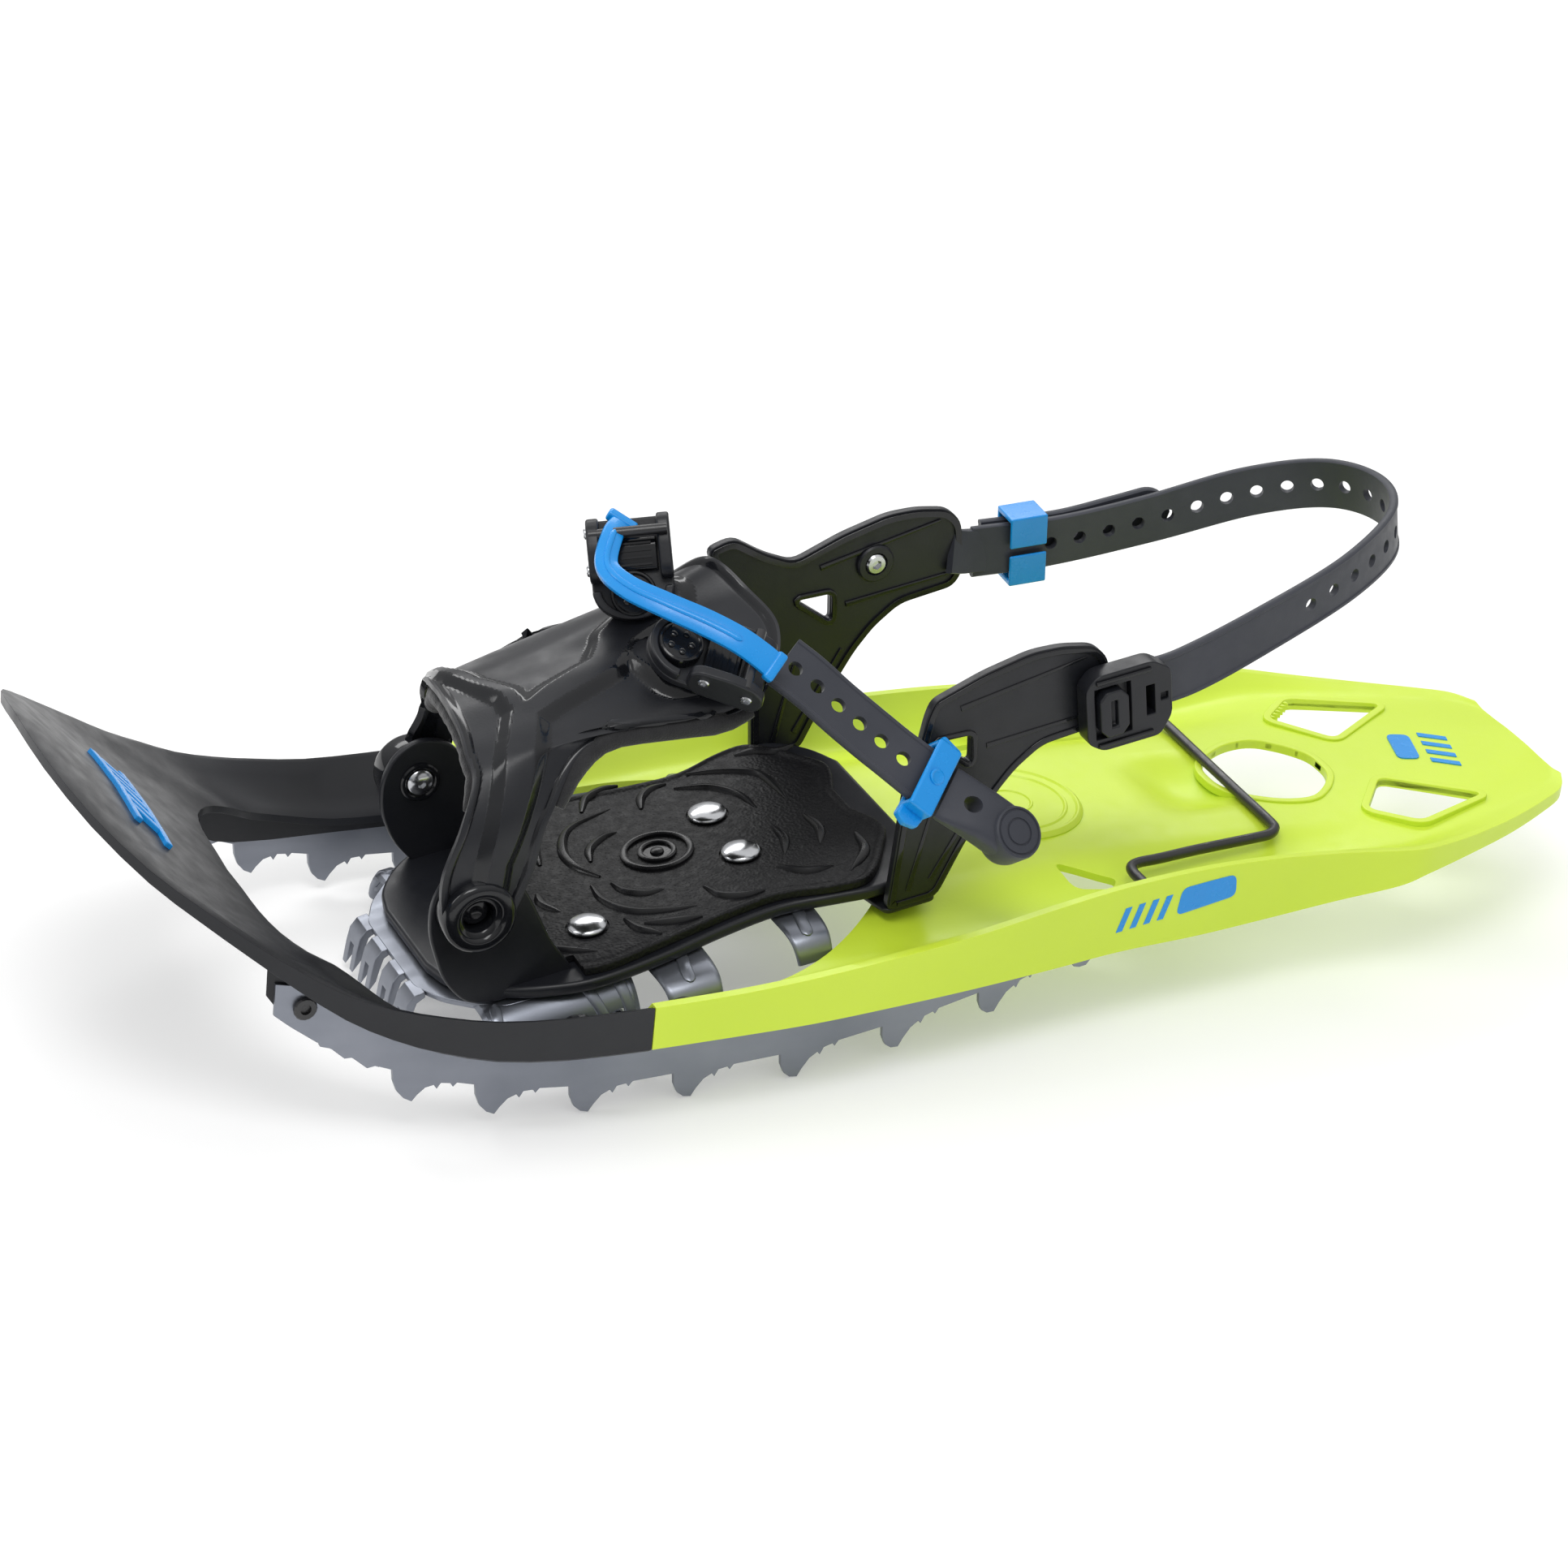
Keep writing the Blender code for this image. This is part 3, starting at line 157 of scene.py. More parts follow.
class Look:
    """A Principled material whose colour, roughness and bump come from noise nodes."""

    def __init__(self, name, colour, roughness, metallic=0.0, specular=0.5):
        self.material = bpy.data.materials.new(name)
        self.material.use_nodes = True
        self.tree = self.material.node_tree
        self.shader = self.tree.nodes["Principled BSDF"]
        self.shader.inputs["Metallic"].default_value = metallic
        self.shader.inputs["Specular IOR Level"].default_value = specular
        self.coords = self.add("ShaderNodeTexCoord")
        self.colour, self.roughness = colour, roughness
        self.height = None

    def add(self, kind, **values):
        """New node with its properties or inputs set."""
        node = self.tree.nodes.new(kind)
        for key, value in values.items():
            if hasattr(node, key):
                setattr(node, key, value)
            else:
                node.inputs[key].default_value = value
        return node

    def link(self, source, target):
        """Connect two sockets."""
        self.tree.links.new(source, target)

    def noise(self, scale, detail=3.0, stretch=None):
        """Noise in object coordinates, stretched along the axes if asked."""
        node = self.add("ShaderNodeTexNoise", Scale=scale, Detail=detail)
        source = self.coords.outputs["Object"]
        if stretch:
            mapping = self.add("ShaderNodeMapping")
            mapping.inputs["Scale"].default_value = stretch
            self.link(source, mapping.inputs["Vector"])
            source = mapping.outputs["Vector"]
        self.link(source, node.inputs["Vector"])
        return node.outputs["Fac"]

    def spread(self, source, low, high, out_low, out_high):
        """Map a value from one range to another."""
        node = self.add("ShaderNodeMapRange")
        for key, value in (("From Min", low), ("From Max", high), ("To Min", out_low),
                           ("To Max", out_high)):
            node.inputs[key].default_value = value
        self.link(source, node.inputs["Value"])
        return node.outputs["Result"]

    def vary_colour(self, source, other, low=0.35, high=0.65):
        """Blend the colour towards another one where the source is high."""
        mix = self.add("ShaderNodeMix", data_type="RGBA")
        first, second = [s for s in mix.inputs if s.name in ("A", "B") and s.type == "RGBA"]
        first.default_value = (*self.colour, 1)
        second.default_value = (*other, 1)
        self.link(self.spread(source, low, high, 0.0, 1.0), mix.inputs["Factor"])
        result = next(s for s in mix.outputs if s.type == "RGBA")
        self.link(result, self.shader.inputs["Base Color"])

    def vary_roughness(self, source, amount):
        """Let the roughness wander by the amount to both sides."""
        result = self.spread(source, 0.3, 0.7, self.roughness - amount, self.roughness + amount)
        self.link(result, self.shader.inputs["Roughness"])

    def bump(self, source, distance, strength=1.0):
        """Add a bump on top of the bumps so far."""
        node = self.add("ShaderNodeBump", Strength=strength, Distance=distance)
        self.link(source, node.inputs["Height"])
        if self.height:
            self.link(self.height, node.inputs["Normal"])
        self.height = node.outputs["Normal"]
        self.link(self.height, self.shader.inputs["Normal"])


def lime_look():
    """Yellow-green moulded plastic, slightly translucent."""
    look = Look("lime_plastic", (0.64, 0.82, 0.050), 0.38)
    cloud = look.noise(9.0, 4.0)
    look.vary_colour(cloud, (0.58, 0.76, 0.040), 0.3, 0.75)
    look.vary_roughness(look.noise(160.0, 5.0), 0.05)
    look.bump(look.noise(900.0, 4.0), 0.00012, 0.35)
    look.bump(look.noise(26.0, 2.0), 0.0006, 0.25)
    look.shader.inputs["Subsurface Weight"].default_value = 0.12
    look.shader.inputs["Subsurface Radius"].default_value = (0.006, 0.006, 0.001)
    look.shader.inputs["Subsurface Scale"].default_value = 0.5
    return look.material


def black_look(name="black_plastic", colour=(0.0075, 0.0082, 0.0108), roughness=0.38, grain=0.3):
    """Black moulded plastic; grain is the strength of its fine bump."""
    look = Look(name, colour, roughness, specular=0.4)
    look.vary_colour(look.noise(14.0, 5.0), tuple(c * 1.5 for c in colour))
    look.vary_roughness(look.noise(120.0, 5.0), 0.06)
    look.bump(look.noise(1100.0, 3.0), 0.0001, grain)
    return look.material


def slate_look():
    """Matt grey-blue strap rubber."""
    look = Look("slate_rubber", (0.026, 0.029, 0.040), 0.5, specular=0.4)
    look.vary_colour(look.noise(30.0, 5.0), (0.034, 0.037, 0.049))
    look.vary_roughness(look.noise(200.0, 4.0), 0.06)
    look.bump(look.noise(1500.0, 3.0), 0.00008, 0.4)
    look.shader.inputs["Sheen Weight"].default_value = 0.1
    return look.material


def foam_look():
    """Black foam with fine open cells."""
    look = Look("foam", (0.010, 0.010, 0.011), 0.85, specular=0.3)
    look.vary_colour(look.noise(60.0, 4.0), (0.02, 0.02, 0.022))
    look.vary_roughness(look.noise(300.0, 3.0), 0.08)
    cells = look.add("ShaderNodeTexVoronoi")
    cells.inputs["Scale"].default_value = 1600.0
    look.link(look.coords.outputs["Object"], cells.inputs["Vector"])
    look.bump(cells.outputs["Distance"], 0.0003, 0.5)
    look.shader.inputs["Sheen Weight"].default_value = 0.3
    return look.material


def rail_look():
    """Grey coated steel with lengthwise grain."""
    look = Look("rail_steel", (0.20, 0.215, 0.25), 0.36, metallic=0.85)
    look.vary_colour(look.noise(22.0, 6.0), (0.26, 0.275, 0.315), 0.3, 0.7)
    look.vary_roughness(look.noise(180.0, 5.0, stretch=(0.2, 1, 1)), 0.08)
    look.bump(look.noise(700.0, 4.0), 0.00008, 0.3)
    return look.material


def bright_look():
    """Polished rivet steel."""
    look = Look("bright_steel", (0.62, 0.63, 0.65), 0.2, metallic=1.0)
    look.vary_colour(look.noise(80.0, 3.0), (0.54, 0.55, 0.57))
    look.vary_roughness(look.noise(500.0, 4.0), 0.04)
    look.bump(look.noise(1400.0, 3.0), 0.00001, 0.2)
    return look.material


def black_steel_look():
    """Black lacquered wire."""
    look = Look("black_steel", (0.012, 0.012, 0.013), 0.33, specular=0.6)
    look.vary_colour(look.noise(60.0, 4.0), (0.02, 0.02, 0.022))
    look.vary_roughness(look.noise(240.0, 4.0), 0.07)
    look.bump(look.noise(1200.0, 3.0), 0.00006, 0.4)
    return look.material


def blue_look():
    """Glossy blue plastic."""
    look = Look("blue_plastic", (0.004, 0.28, 0.74), 0.26)
    look.vary_colour(look.noise(20.0, 4.0), (0.003, 0.245, 0.67))
    look.vary_roughness(look.noise(220.0, 4.0), 0.05)
    look.bump(look.noise(1100.0, 3.0), 0.00006, 0.3)
    return look.material


def tread_look():
    """Pebbled black rubber of the foot pad."""
    look = Look("tread_rubber", (0.004, 0.004, 0.005), 0.5, specular=0.22)
    look.vary_colour(look.noise(40.0, 5.0), (0.007, 0.007, 0.008))
    look.vary_roughness(look.noise(300.0, 4.0), 0.08)
    pebbles = look.add("ShaderNodeTexVoronoi", feature="SMOOTH_F1")
    pebbles.inputs["Scale"].default_value = 900.0
    look.link(look.coords.outputs["Object"], pebbles.inputs["Vector"])
    look.bump(pebbles.outputs["Distance"], 0.0005, 0.55)
    look.bump(look.noise(500.0, 4.0), 0.0003, 0.4)
    return look.material


MAKERS = {"lime_plastic": lime_look, "black_plastic": black_look, "slate_rubber": slate_look,
          "foam": foam_look, "rail_steel": rail_look, "bright_steel": bright_look,
          "black_steel": black_steel_look, "blue_plastic": blue_look,
          "black_gloss": lambda: black_look("black_gloss", (0.006, 0.0065, 0.008), 0.13, 0.06),
          "tread_rubber": tread_look,
          "tread_gloss": lambda: black_look("tread_gloss", (0.006, 0.006, 0.007), 0.3, 0.5)}
LOOKS = {slot: make() for slot, make in MAKERS.items()}
# record slots of the looks that aren't a slot of their own
SLOTS = {part["node"]: part["material_slot"] for part in frame["record"]["subparts"]}


def dress_nodes():
    """Give every CAD node the look of its slot."""
    for node, made in frame["nodes"].items():
        made.data.materials.clear()
        made.data.materials.append(LOOKS[SLOTS[node]])


# ---------------------------------------------------------------- building blocks

TILT = math.radians(10.3)
DECK = Matrix.Translation((SHIFT_X * MM, 0, DECK_Z * MM)) @ Matrix.Scale(MM, 4)
BIND = (Matrix.Translation(((SHIFT_X - 95.0) * MM, 0, (DECK_Z - 6.0) * MM))
        @ Matrix.Rotation(-TILT, 4, "Y") @ Matrix.Scale(MM, 4))


def add_piece(name, build, look, body="binding", space=BIND, replaces=(), degrees=35.0):
    """Turn a bmesh in millimetres into a piece that rides on a body, or on none for a cutter."""
    bmesh.ops.recalc_face_normals(build, faces=build.faces)
    bmesh.ops.transform(build, matrix=space, verts=build.verts)
    mesh = bpy.data.meshes.new(name)
    build.to_mesh(mesh)
    build.free()
    mesh.materials.append(LOOKS[look])
    mesh.shade_smooth()
    mesh.set_sharp_from_angle(angle=math.radians(degrees))
    made = bpy.data.objects.new(name, mesh)
    bpy.context.scene.collection.objects.link(made)
    if body:
        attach(made, body)
    if replaces:
        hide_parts(*replaces)
    return made


def bake(target):
    """Apply a piece's modifiers to its mesh."""
    bpy.context.view_layer.update()
    graph = bpy.context.evaluated_depsgraph_get()
    mesh = bpy.data.meshes.new_from_object(target.evaluated_get(graph))
    target.modifiers.clear()
    target.data = mesh
    return target


def even_shading(target, angle=35.0):
    """Face-weighted normals, so flat areas stay flat beside holes and bevels."""
    target.data.set_sharp_from_angle(angle=math.radians(angle))
    step = target.modifiers.new("normals", "WEIGHTED_NORMAL")
    step.keep_sharp = True
    return bake(target)


def cut(target, cutters):
    """Take cutter pieces out of a piece and drop them."""
    for other in cutters:
        step = target.modifiers.new("cut", "BOOLEAN")
        step.operation = "DIFFERENCE"
        step.solver = "MANIFOLD"
        step.object = other
    bake(target)
    for other in cutters:
        bpy.data.objects.remove(other, do_unlink=True)
    return even_shading(target)


def softened(target, width, segments=2, angle=35.0):
    """Bevel the sharp edges, width in mm."""
    step = target.modifiers.new("edges", "BEVEL")
    step.width = width * MM
    step.segments = segments
    step.limit_method = "ANGLE"
    step.angle_limit = math.radians(angle)
    bake(target)
    return even_shading(target, 50.0)


def spline(points, steps):
    """Catmull-Rom curve through the points, with the given steps per span."""
    knots = [Vector(point) for point in points]
    knots = [knots[0] * 2 - knots[1]] + knots + [knots[-1] * 2 - knots[-2]]
    result = []
    for i in range(1, len(knots) - 2):
        before, start, end, after = knots[i - 1:i + 3]
        for step in range(steps):
            t = step / steps
            point = start * 2 + (end - before) * t
            point += (before * 2 - start * 5 + end * 4 - after) * t * t
            point += (start * 3 - before - end * 3 + after) * t ** 3
            result.append(point * 0.5)
    result.append(knots[-2])
    return result


def hooped(build, rows):
    """Faces between each row of points and the next, and from the last row to the first."""
    for i, row in enumerate(rows):
        following = rows[(i + 1) % len(rows)]
        for k in range(len(row)):
            j = (k + 1) % len(row)
            build.faces.new((row[k], row[j], following[j], following[k]))
    return build


def skinned(build, rows):
    """Faces between each row of points and the next, with a cap on both ends."""
    for row, following in zip(rows, rows[1:]):
        for k in range(len(row)):
            j = (k + 1) % len(row)
            build.faces.new((row[k], row[j], following[j], following[k]))
    build.faces.new(rows[0])
    build.faces.new(list(reversed(rows[-1])))
    return build


def tube_mesh(path, radius, sides, swell=None):
    """Closed round bar along a path; swell(i) scales its radius."""
    build = bmesh.new()
    rows = []
    normal = Vector((0, 0, 1))
    last = len(path) - 1
    for i, point in enumerate(path):
        tangent = (path[min(i + 1, last)] - path[max(i - 1, 0)]).normalized()
        if abs(tangent.dot(normal)) > 0.98:
            normal = Vector((0, 1, 0))
        normal = (normal - tangent * normal.dot(tangent)).normalized()
        other = tangent.cross(normal)
        reach = radius * (swell(i) if swell else 1.0)
        row = []
        for k in range(sides):
            angle = 2 * math.pi * k / sides
            row.append(build.verts.new(point + normal * reach * math.cos(angle)
                                       + other * reach * math.sin(angle)))
        rows.append(row)
    return skinned(build, rows)


def plan_view(a, b, c):
    """Outline seen from above, c upwards."""
    return (a, b, c)


def prism_mesh(outline, low, high, place=plan_view):
    """Closed prism of an outline between two levels."""
    build = bmesh.new()
    rows = [[build.verts.new(place(a, b, level)) for a, b in outline] for level in (low, high)]
    return skinned(build, rows)


def mirrored(half):
    """Half outline completed across y = 0."""
    return [*half, *[(x, -y) for x, y in reversed(half) if y > 0.01]]


def side_view(a, b, c):
    """Outline seen from the side, c across the shoe."""
    return (a, c, b)


def cutter(build, space=BIND):
    """Throw-away piece for cut()."""
    return add_piece("cutter", build, "black_plastic", body=None, space=space)


def rod_mesh(start, end, radius, sides=40):
    """Plain round bar between two points."""
    start, end = Vector(start), Vector(end)
    build = bmesh.new()
    bmesh.ops.create_cone(build, cap_ends=True, segments=sides, radius1=radius, radius2=radius,
                          depth=(end - start).length)
    turn = Vector((0, 0, 1)).rotation_difference(end - start).to_matrix().to_4x4()
    bmesh.ops.transform(build, matrix=Matrix.Translation((start + end) / 2) @ turn,
                        verts=build.verts)
    return build


def turned_mesh(profile, centre, axis, sides=40):
    """Lathe a (radius, height) profile about an axis through the centre."""
    axis = Vector(axis).normalized()
    side = axis.orthogonal().normalized()
    other = axis.cross(side)
    build = bmesh.new()
    rows = []
    for reach, level in profile:
        row = []
        for k in range(sides):
            angle = 2 * math.pi * k / sides
            spoke = side * math.cos(angle) + other * math.sin(angle)
            row.append(build.verts.new(Vector(centre) + spoke * reach + axis * level))
        rows.append(row)
    return skinned(build, rows)


def distance_to(point, path):
    """Distance from a point to a polyline of (point, half width) pairs, less its half width."""
    best = 1e9
    for (start, wide0), (end, wide1) in zip(path, path[1:]):
        span = end - start
        share = max(0.0, min(1.0, (point - start).dot(span) / span.length_squared))
        gap = (point - start - span * share).length - (wide0 + (wide1 - wide0) * share)
        best = min(best, gap)
    return best


def surface_tree(name):
    """Search tree of a finished piece, in world metres."""
    graph = bpy.context.evaluated_depsgraph_get()
    return BVHTree.FromObject(bpy.data.objects[name], graph)


# ---------------------------------------------------------------- toe cage

# front edge u, y, w, rear edge u, y, w and how far the skin stands proud between them
CAGE_ROWS = (
    (-69.0, -55.0, 30.0, -46.0, -56.0, 26.0, 0.0),
    (-67.0, -55.0, 50.0, -34.0, -54.0, 44.0, 1.0),
    (-57.0, -51.5, 66.0, -24.0, -50.5, 62.0, 1.5),
    (-48.0, -43.0, 77.5, 0.0, -40.0, 79.5, 2.0),
    (-46.0, -33.0, 83.0, 48.0, -41.0, 74.5, 4.5),
    (-44.0, -22.0, 86.0, 66.0, -38.0, 80.0, 3.0),
    (-43.0, -10.0, 88.0, 77.0, -23.0, 91.0, 1.0),
    (-42.0, 2.0, 88.0, 74.0, -6.0, 99.0, -2.5),
    (-41.0, 14.0, 86.0, 67.0, 10.0, 106.0, -4.5),
    (-38.0, 28.0, 79.0, 58.0, 28.0, 93.0, 0.0),
    (-37.0, 34.0, 74.0, 48.0, 42.0, 74.0, 3.0),
    (-36.0, 40.0, 67.0, 4.0, 43.0, 75.0, 2.0),
    (-34.0, 48.0, 53.0, -14.0, 51.0, 58.0, 1.5),
    (-40.0, 54.0, 39.0, -20.0, 54.5, 42.0, 1.0),
    (-51.0, 55.0, 25.0, -28.0, 56.0, 22.0, 0.0),
)
CAGE_STEPS = 20
CAGE_ACROSS = 112
LEFT_BOSS = (-56.0, 34.0)
RIGHT_BOSS = (-39.0, 28.0)
# raised bands of the shell: points u, y, w and the band's half width there
CAGE_BANDS = (
    ((-51.0, -56.5, 40.0, 5.4), (-47.0, -56.5, 52.0, 5.4), (-37.0, -51.0, 69.5, 6.4),
     (-26.0, -37.0, 85.0, 7.2), (-21.0, -27.0, 88.3, 7.0)),
    ((-21.0, -27.0, 88.3, 5.4), (-22.0, -14.0, 90.0, 4.6), (-29.0, 0.0, 90.0, 4.2),
     (-34.0, 16.0, 86.0, 4.0), (-33.0, 32.0, 77.0, 4.0), (-30.0, 45.0, 60.0, 4.5),
     (-36.0, 54.0, 38.0, 5.0)),
    ((-21.0, -27.0, 88.3, 6.0), (-8.0, -21.5, 89.8, 6.5), (14.0, -15.0, 91.5, 7.0),
     (24.0, -3.0, 94.0, 9.0), (46.0, 6.0, 98.0, 9.0)),
    ((30.0, -16.0, 92.5, 8.0), (36.0, -27.0, 90.0, 10.0), (52.0, -31.0, 88.0, 9.0)),
)
BAND_HEIGHT = 2.8
BAND_CHAMFER = 4.2


def cage_point(start, end, lift, share):
    """Point on the cage's skin between a front and a rear edge point."""
    point = start.lerp(end, share)
    away = Vector((0.0, point.y, max(point.z - 40.0, 0.0))).normalized()
    return point + away * lift * math.sin(math.pi * share)


def cage_edges(steps):
    """Front edge, rear edge and lift of the cage's skin, as smooth curves."""
    front = spline([row[:3] for row in CAGE_ROWS], steps)
    rear = spline([row[3:6] for row in CAGE_ROWS], steps)
    proud = spline([(row[6], 0.0, 0.0) for row in CAGE_ROWS], steps)
    return front, rear, proud


def toe_cage():
    """Shell over the toes: a skin between its two edges with raised, chamfered bands."""
    front, rear, proud = cage_edges(CAGE_STEPS)
    grid = [[cage_point(start, end, lift.x, k / CAGE_ACROSS) for k in range(CAGE_ACROSS + 1)]
            for start, end, lift in zip(front, rear, proud)]
    bands = [[(Vector(point[:3]), point[3]) for point in band] for band in CAGE_BANDS]
    rows, heights = [], []
    build = bmesh.new()
    last, end = len(grid) - 1, CAGE_ACROSS
    for i, line in enumerate(grid):
        row, levels = [], []
        for k, point in enumerate(line):
            along = grid[min(i + 1, last)][k] - grid[max(i - 1, 0)][k]
            across = line[min(k + 1, end)] - line[max(k - 1, 0)]
            normal = along.cross(across).normalized()
            if normal.dot(Vector((0.0, point.y, point.z - 30.0))) < 0:
                normal = -normal
            gap = min(distance_to(point, band) for band in bands)
            height = max(0.0, min(1.0, (BAND_CHAMFER * 0.5 - gap) / BAND_CHAMFER))
            rim = min((point - line[0]).length, (point - line[-1]).length)
            height = max(height * BAND_HEIGHT, 1.4 * max(0.0, 1 - (rim / 3.4) ** 2) ** 0.5)
            row.append(build.verts.new(point + normal * height))
            levels.append(height)
        rows.append(row)
        heights.append(levels)
    for i in range(last):
        for k in range(end):
            face = build.faces.new((rows[i][k], rows[i + 1][k], rows[i + 1][k + 1], rows[i][k + 1]))
            corners = (heights[i][k], heights[i + 1][k + 1], heights[i + 1][k], heights[i][k + 1])
            face.material_index = 1 if max(corners) - min(corners) > 0.12 else 0
    shell = add_piece("cage_shell", build, "black_plastic", replaces=["toe_cage"], degrees=60.0)
    shell.data.materials.append(LOOKS["black_gloss"])
    step = shell.modifiers.new("skin", "SOLIDIFY")
    step.thickness = 2.6 * MM
    step.offset = -1.0
    bake(shell)
    cutters = []
    for sign, (u, w) in ((-1, LEFT_BOSS), (1, RIGHT_BOSS)):
        cutters.append(cutter(rod_mesh((u, sign * 46.0, w), (u, sign * 70.0, w), 12.6)))
        block = prism_mesh(((u - 24, w - 40), (u + 24, w - 40), (u + 24, w - 2), (u - 24, w - 2)),
                           sign * 46.0, sign * 70.0, side_view)
        cutters.append(cutter(block))
    cut(shell, cutters)


def cage_bosses():
    """Turned pivot bosses with a deep glossy mouth."""
    for side, sign, (u, w) in (("left", -1, LEFT_BOSS), ("right", 1, RIGHT_BOSS)):
        profile = [(5.6, 0.0), (13.0, 0.0), (13.3, 1.0), (13.3, 8.6), (12.8, 9.8), (11.6, 10.5),
                   (9.4, 10.6), (8.4, 10.2), (7.8, 9.2), (6.6, 8.8), (5.8, 8.0), (5.6, 7.0)]
        build = turned_mesh(profile, (u, sign * 50.0, w), (0, sign, 0), 48)
        caps = [face for face in build.faces if len(face.verts) > 4]
        bmesh.ops.delete(build, geom=caps, context="FACES")
        rings = [edge for edge in build.edges if edge.is_boundary]
        bmesh.ops.bridge_loops(build, edges=rings)
        add_piece(f"boss_{side}", build, "black_gloss",
                  replaces=[f"cage_boss_{side}"], degrees=40.0)
        pin = turned_mesh([(5.2, 0.0), (5.2, 3.2), (4.6, 4.0), (2.6, 4.4), (1.8, 3.6), (0.4, 3.4)],
                          (u, sign * 50.0, w), (0, sign, 0), 32)
        add_piece(f"boss_pin_{side}", pin, "black_gloss", degrees=40.0)


def padded_roll(name, path, radius, node):
    """Foam roll with soft puckers along its length."""
    def swell(i):
        """Puckers, and a taper over the last three points of each end."""
        ends = min(i, len(path) - 1 - i)
        pucker = 1.0 + 0.035 * math.sin(i * 1.9) + 0.025 * math.sin(i * 0.77 + 1.0)
        return pucker * min(1.0, 0.55 + 0.15 * ends)
    build = tube_mesh(path, radius, 24, swell)
    roll = add_piece(name, build, "foam", replaces=[node], degrees=80.0)


def cage_liners():
    """Foam rolls inside the cage's front edge and under both rear edges."""
    front, rear, _ = cage_edges(6)
    inward = []
    for start, end in zip(front, rear):
        away = Vector((0.0, start.y, max(start.z - 40.0, 0.0))).normalized()
        back = (end - start).normalized()
        inward.append(start - away * 6.2 + back * 3.0)
    padded_roll("liner_roll_front", inward[14:68], 3.9, "liner_front")
    beyond = [point + Vector((0.8, 0.0, -3.0)) for point in rear]
    padded_roll("liner_roll_left", beyond[13:27], 3.9, "liner_left")
    padded_roll("liner_roll_right", beyond[62:76], 3.9, "liner_right")


# ---------------------------------------------------------------- tread pad

PAD_OUTLINE = ((-27.0, 12.0), (-29.0, 30.0), (-28.5, 46.0), (-26.0, 53.5), (-18.0, 57.2),
               (-7.0, 57.6), (10.0, 54.5), (26.0, 51.5), (45.0, 48.3), (61.0, 47.6), (78.0, 52.6),
               (90.0, 53.6), (98.0, 47.0), (106.0, 35.0), (111.0, 26.0), (110.0, 18.0),
               (106.0, 8.0))
# curved grip ribs on the pad: points u, y
PAD_RIBS = (
    ((19, 40), (24, 48), (31, 51), (38, 51)), ((8, -4), (3, 6), (3, 19), (11, 32), (29, 37)),
    ((9, 7), (12, 15), (19, 20), (25, 21)), ((39, 31), (42, 38), (47, 42), (54, 43)),
    ((63, 45), (76, 40), (86, 32), (88, 20), (88, 9)), ((55, 38), (67, 32), (74, 22), (76, 10)),
    ((84, 48), (92, 47), (99, 43), (106, 44)), ((3, -8), (3, -19), (9, -30), (20, -36), (31, -39)),
    ((10, -10), (12, -17), (18, -22), (25, -23)), ((38, -29), (41, -37), (48, -41), (56, -42)),
    ((-16, -3), (-17, -10), (-13, -18)), ((5, -34), (7, -42), (13, -49)),
    ((10, -40), (20, -44), (30, -46)), ((76, -5), (76, -14), (72, -24)),
    ((89, -3), (90, -14), (86, -24)), ((-29, -26), (-27, -36), (-20, -42), (-11, -48)),
    ((-16, 26), (-12, 38), (-3, 46)), ((-8, 14), (-5, 26), (3, 38)),
    ((100, -24), (98, -36), (88, -46)), ((66, -30), (74, -38), (84, -40)),
)
RIB_HALF_WIDTH = 1.9
RIB_HEIGHT = 1.5
MEDALLION = (32.5, 1.0)         # u, y of the rings' middle
MEDALLION_SIDES = 64


def rib_mesh(points):
    """Low ridge that tapers to nothing at both ends."""
    path = spline([(u, y, 0.0) for u, y in points], 7)
    build = bmesh.new()
    rows = []
    last = len(path) - 1
    for i, point in enumerate(path):
        tangent = (path[min(i + 1, last)] - path[max(i - 1, 0)]).normalized()
        side = Vector((-tangent.y, tangent.x, 0.0))
        share = i / last
        size = math.sin(math.pi * min(1.0, 0.06 + share * 0.94)) ** 0.6 if i < last else 0.06
        reach, top = RIB_HALF_WIDTH * max(size, 0.15), RIB_HEIGHT * max(size, 0.1)
        row = [(-1.0, -0.8), (-1.0, 0.0), (-0.35, 1.0), (0.45, 0.85), (1.15, 0.0), (1.15, -0.8)]
        rows.append([build.verts.new(point + side * a * reach + Vector((0, 0, b * top if b > 0
                                     else b))) for a, b in row])
    return skinned(build, rows)


def join_meshes(builds):
    """One bmesh out of several."""
    joined = bmesh.new()
    for build in builds:
        mesh = bpy.data.meshes.new("part")
        build.to_mesh(mesh)
        build.free()
        joined.from_mesh(mesh)
        bpy.data.meshes.remove(mesh)
    return joined


def pad_outline(shrink):
    """Pad's outline, moved inwards by shrink."""
    half = spline([(u, y, 0.0) for u, y in PAD_OUTLINE], 4)
    full = [*half, *[Vector((p.x, -p.y, 0.0)) for p in reversed(half)]]
    centre = Vector((38.0, 0.0, 0.0))
    return [(p - centre) * (1 - shrink / (p - centre).length) + centre for p in full]


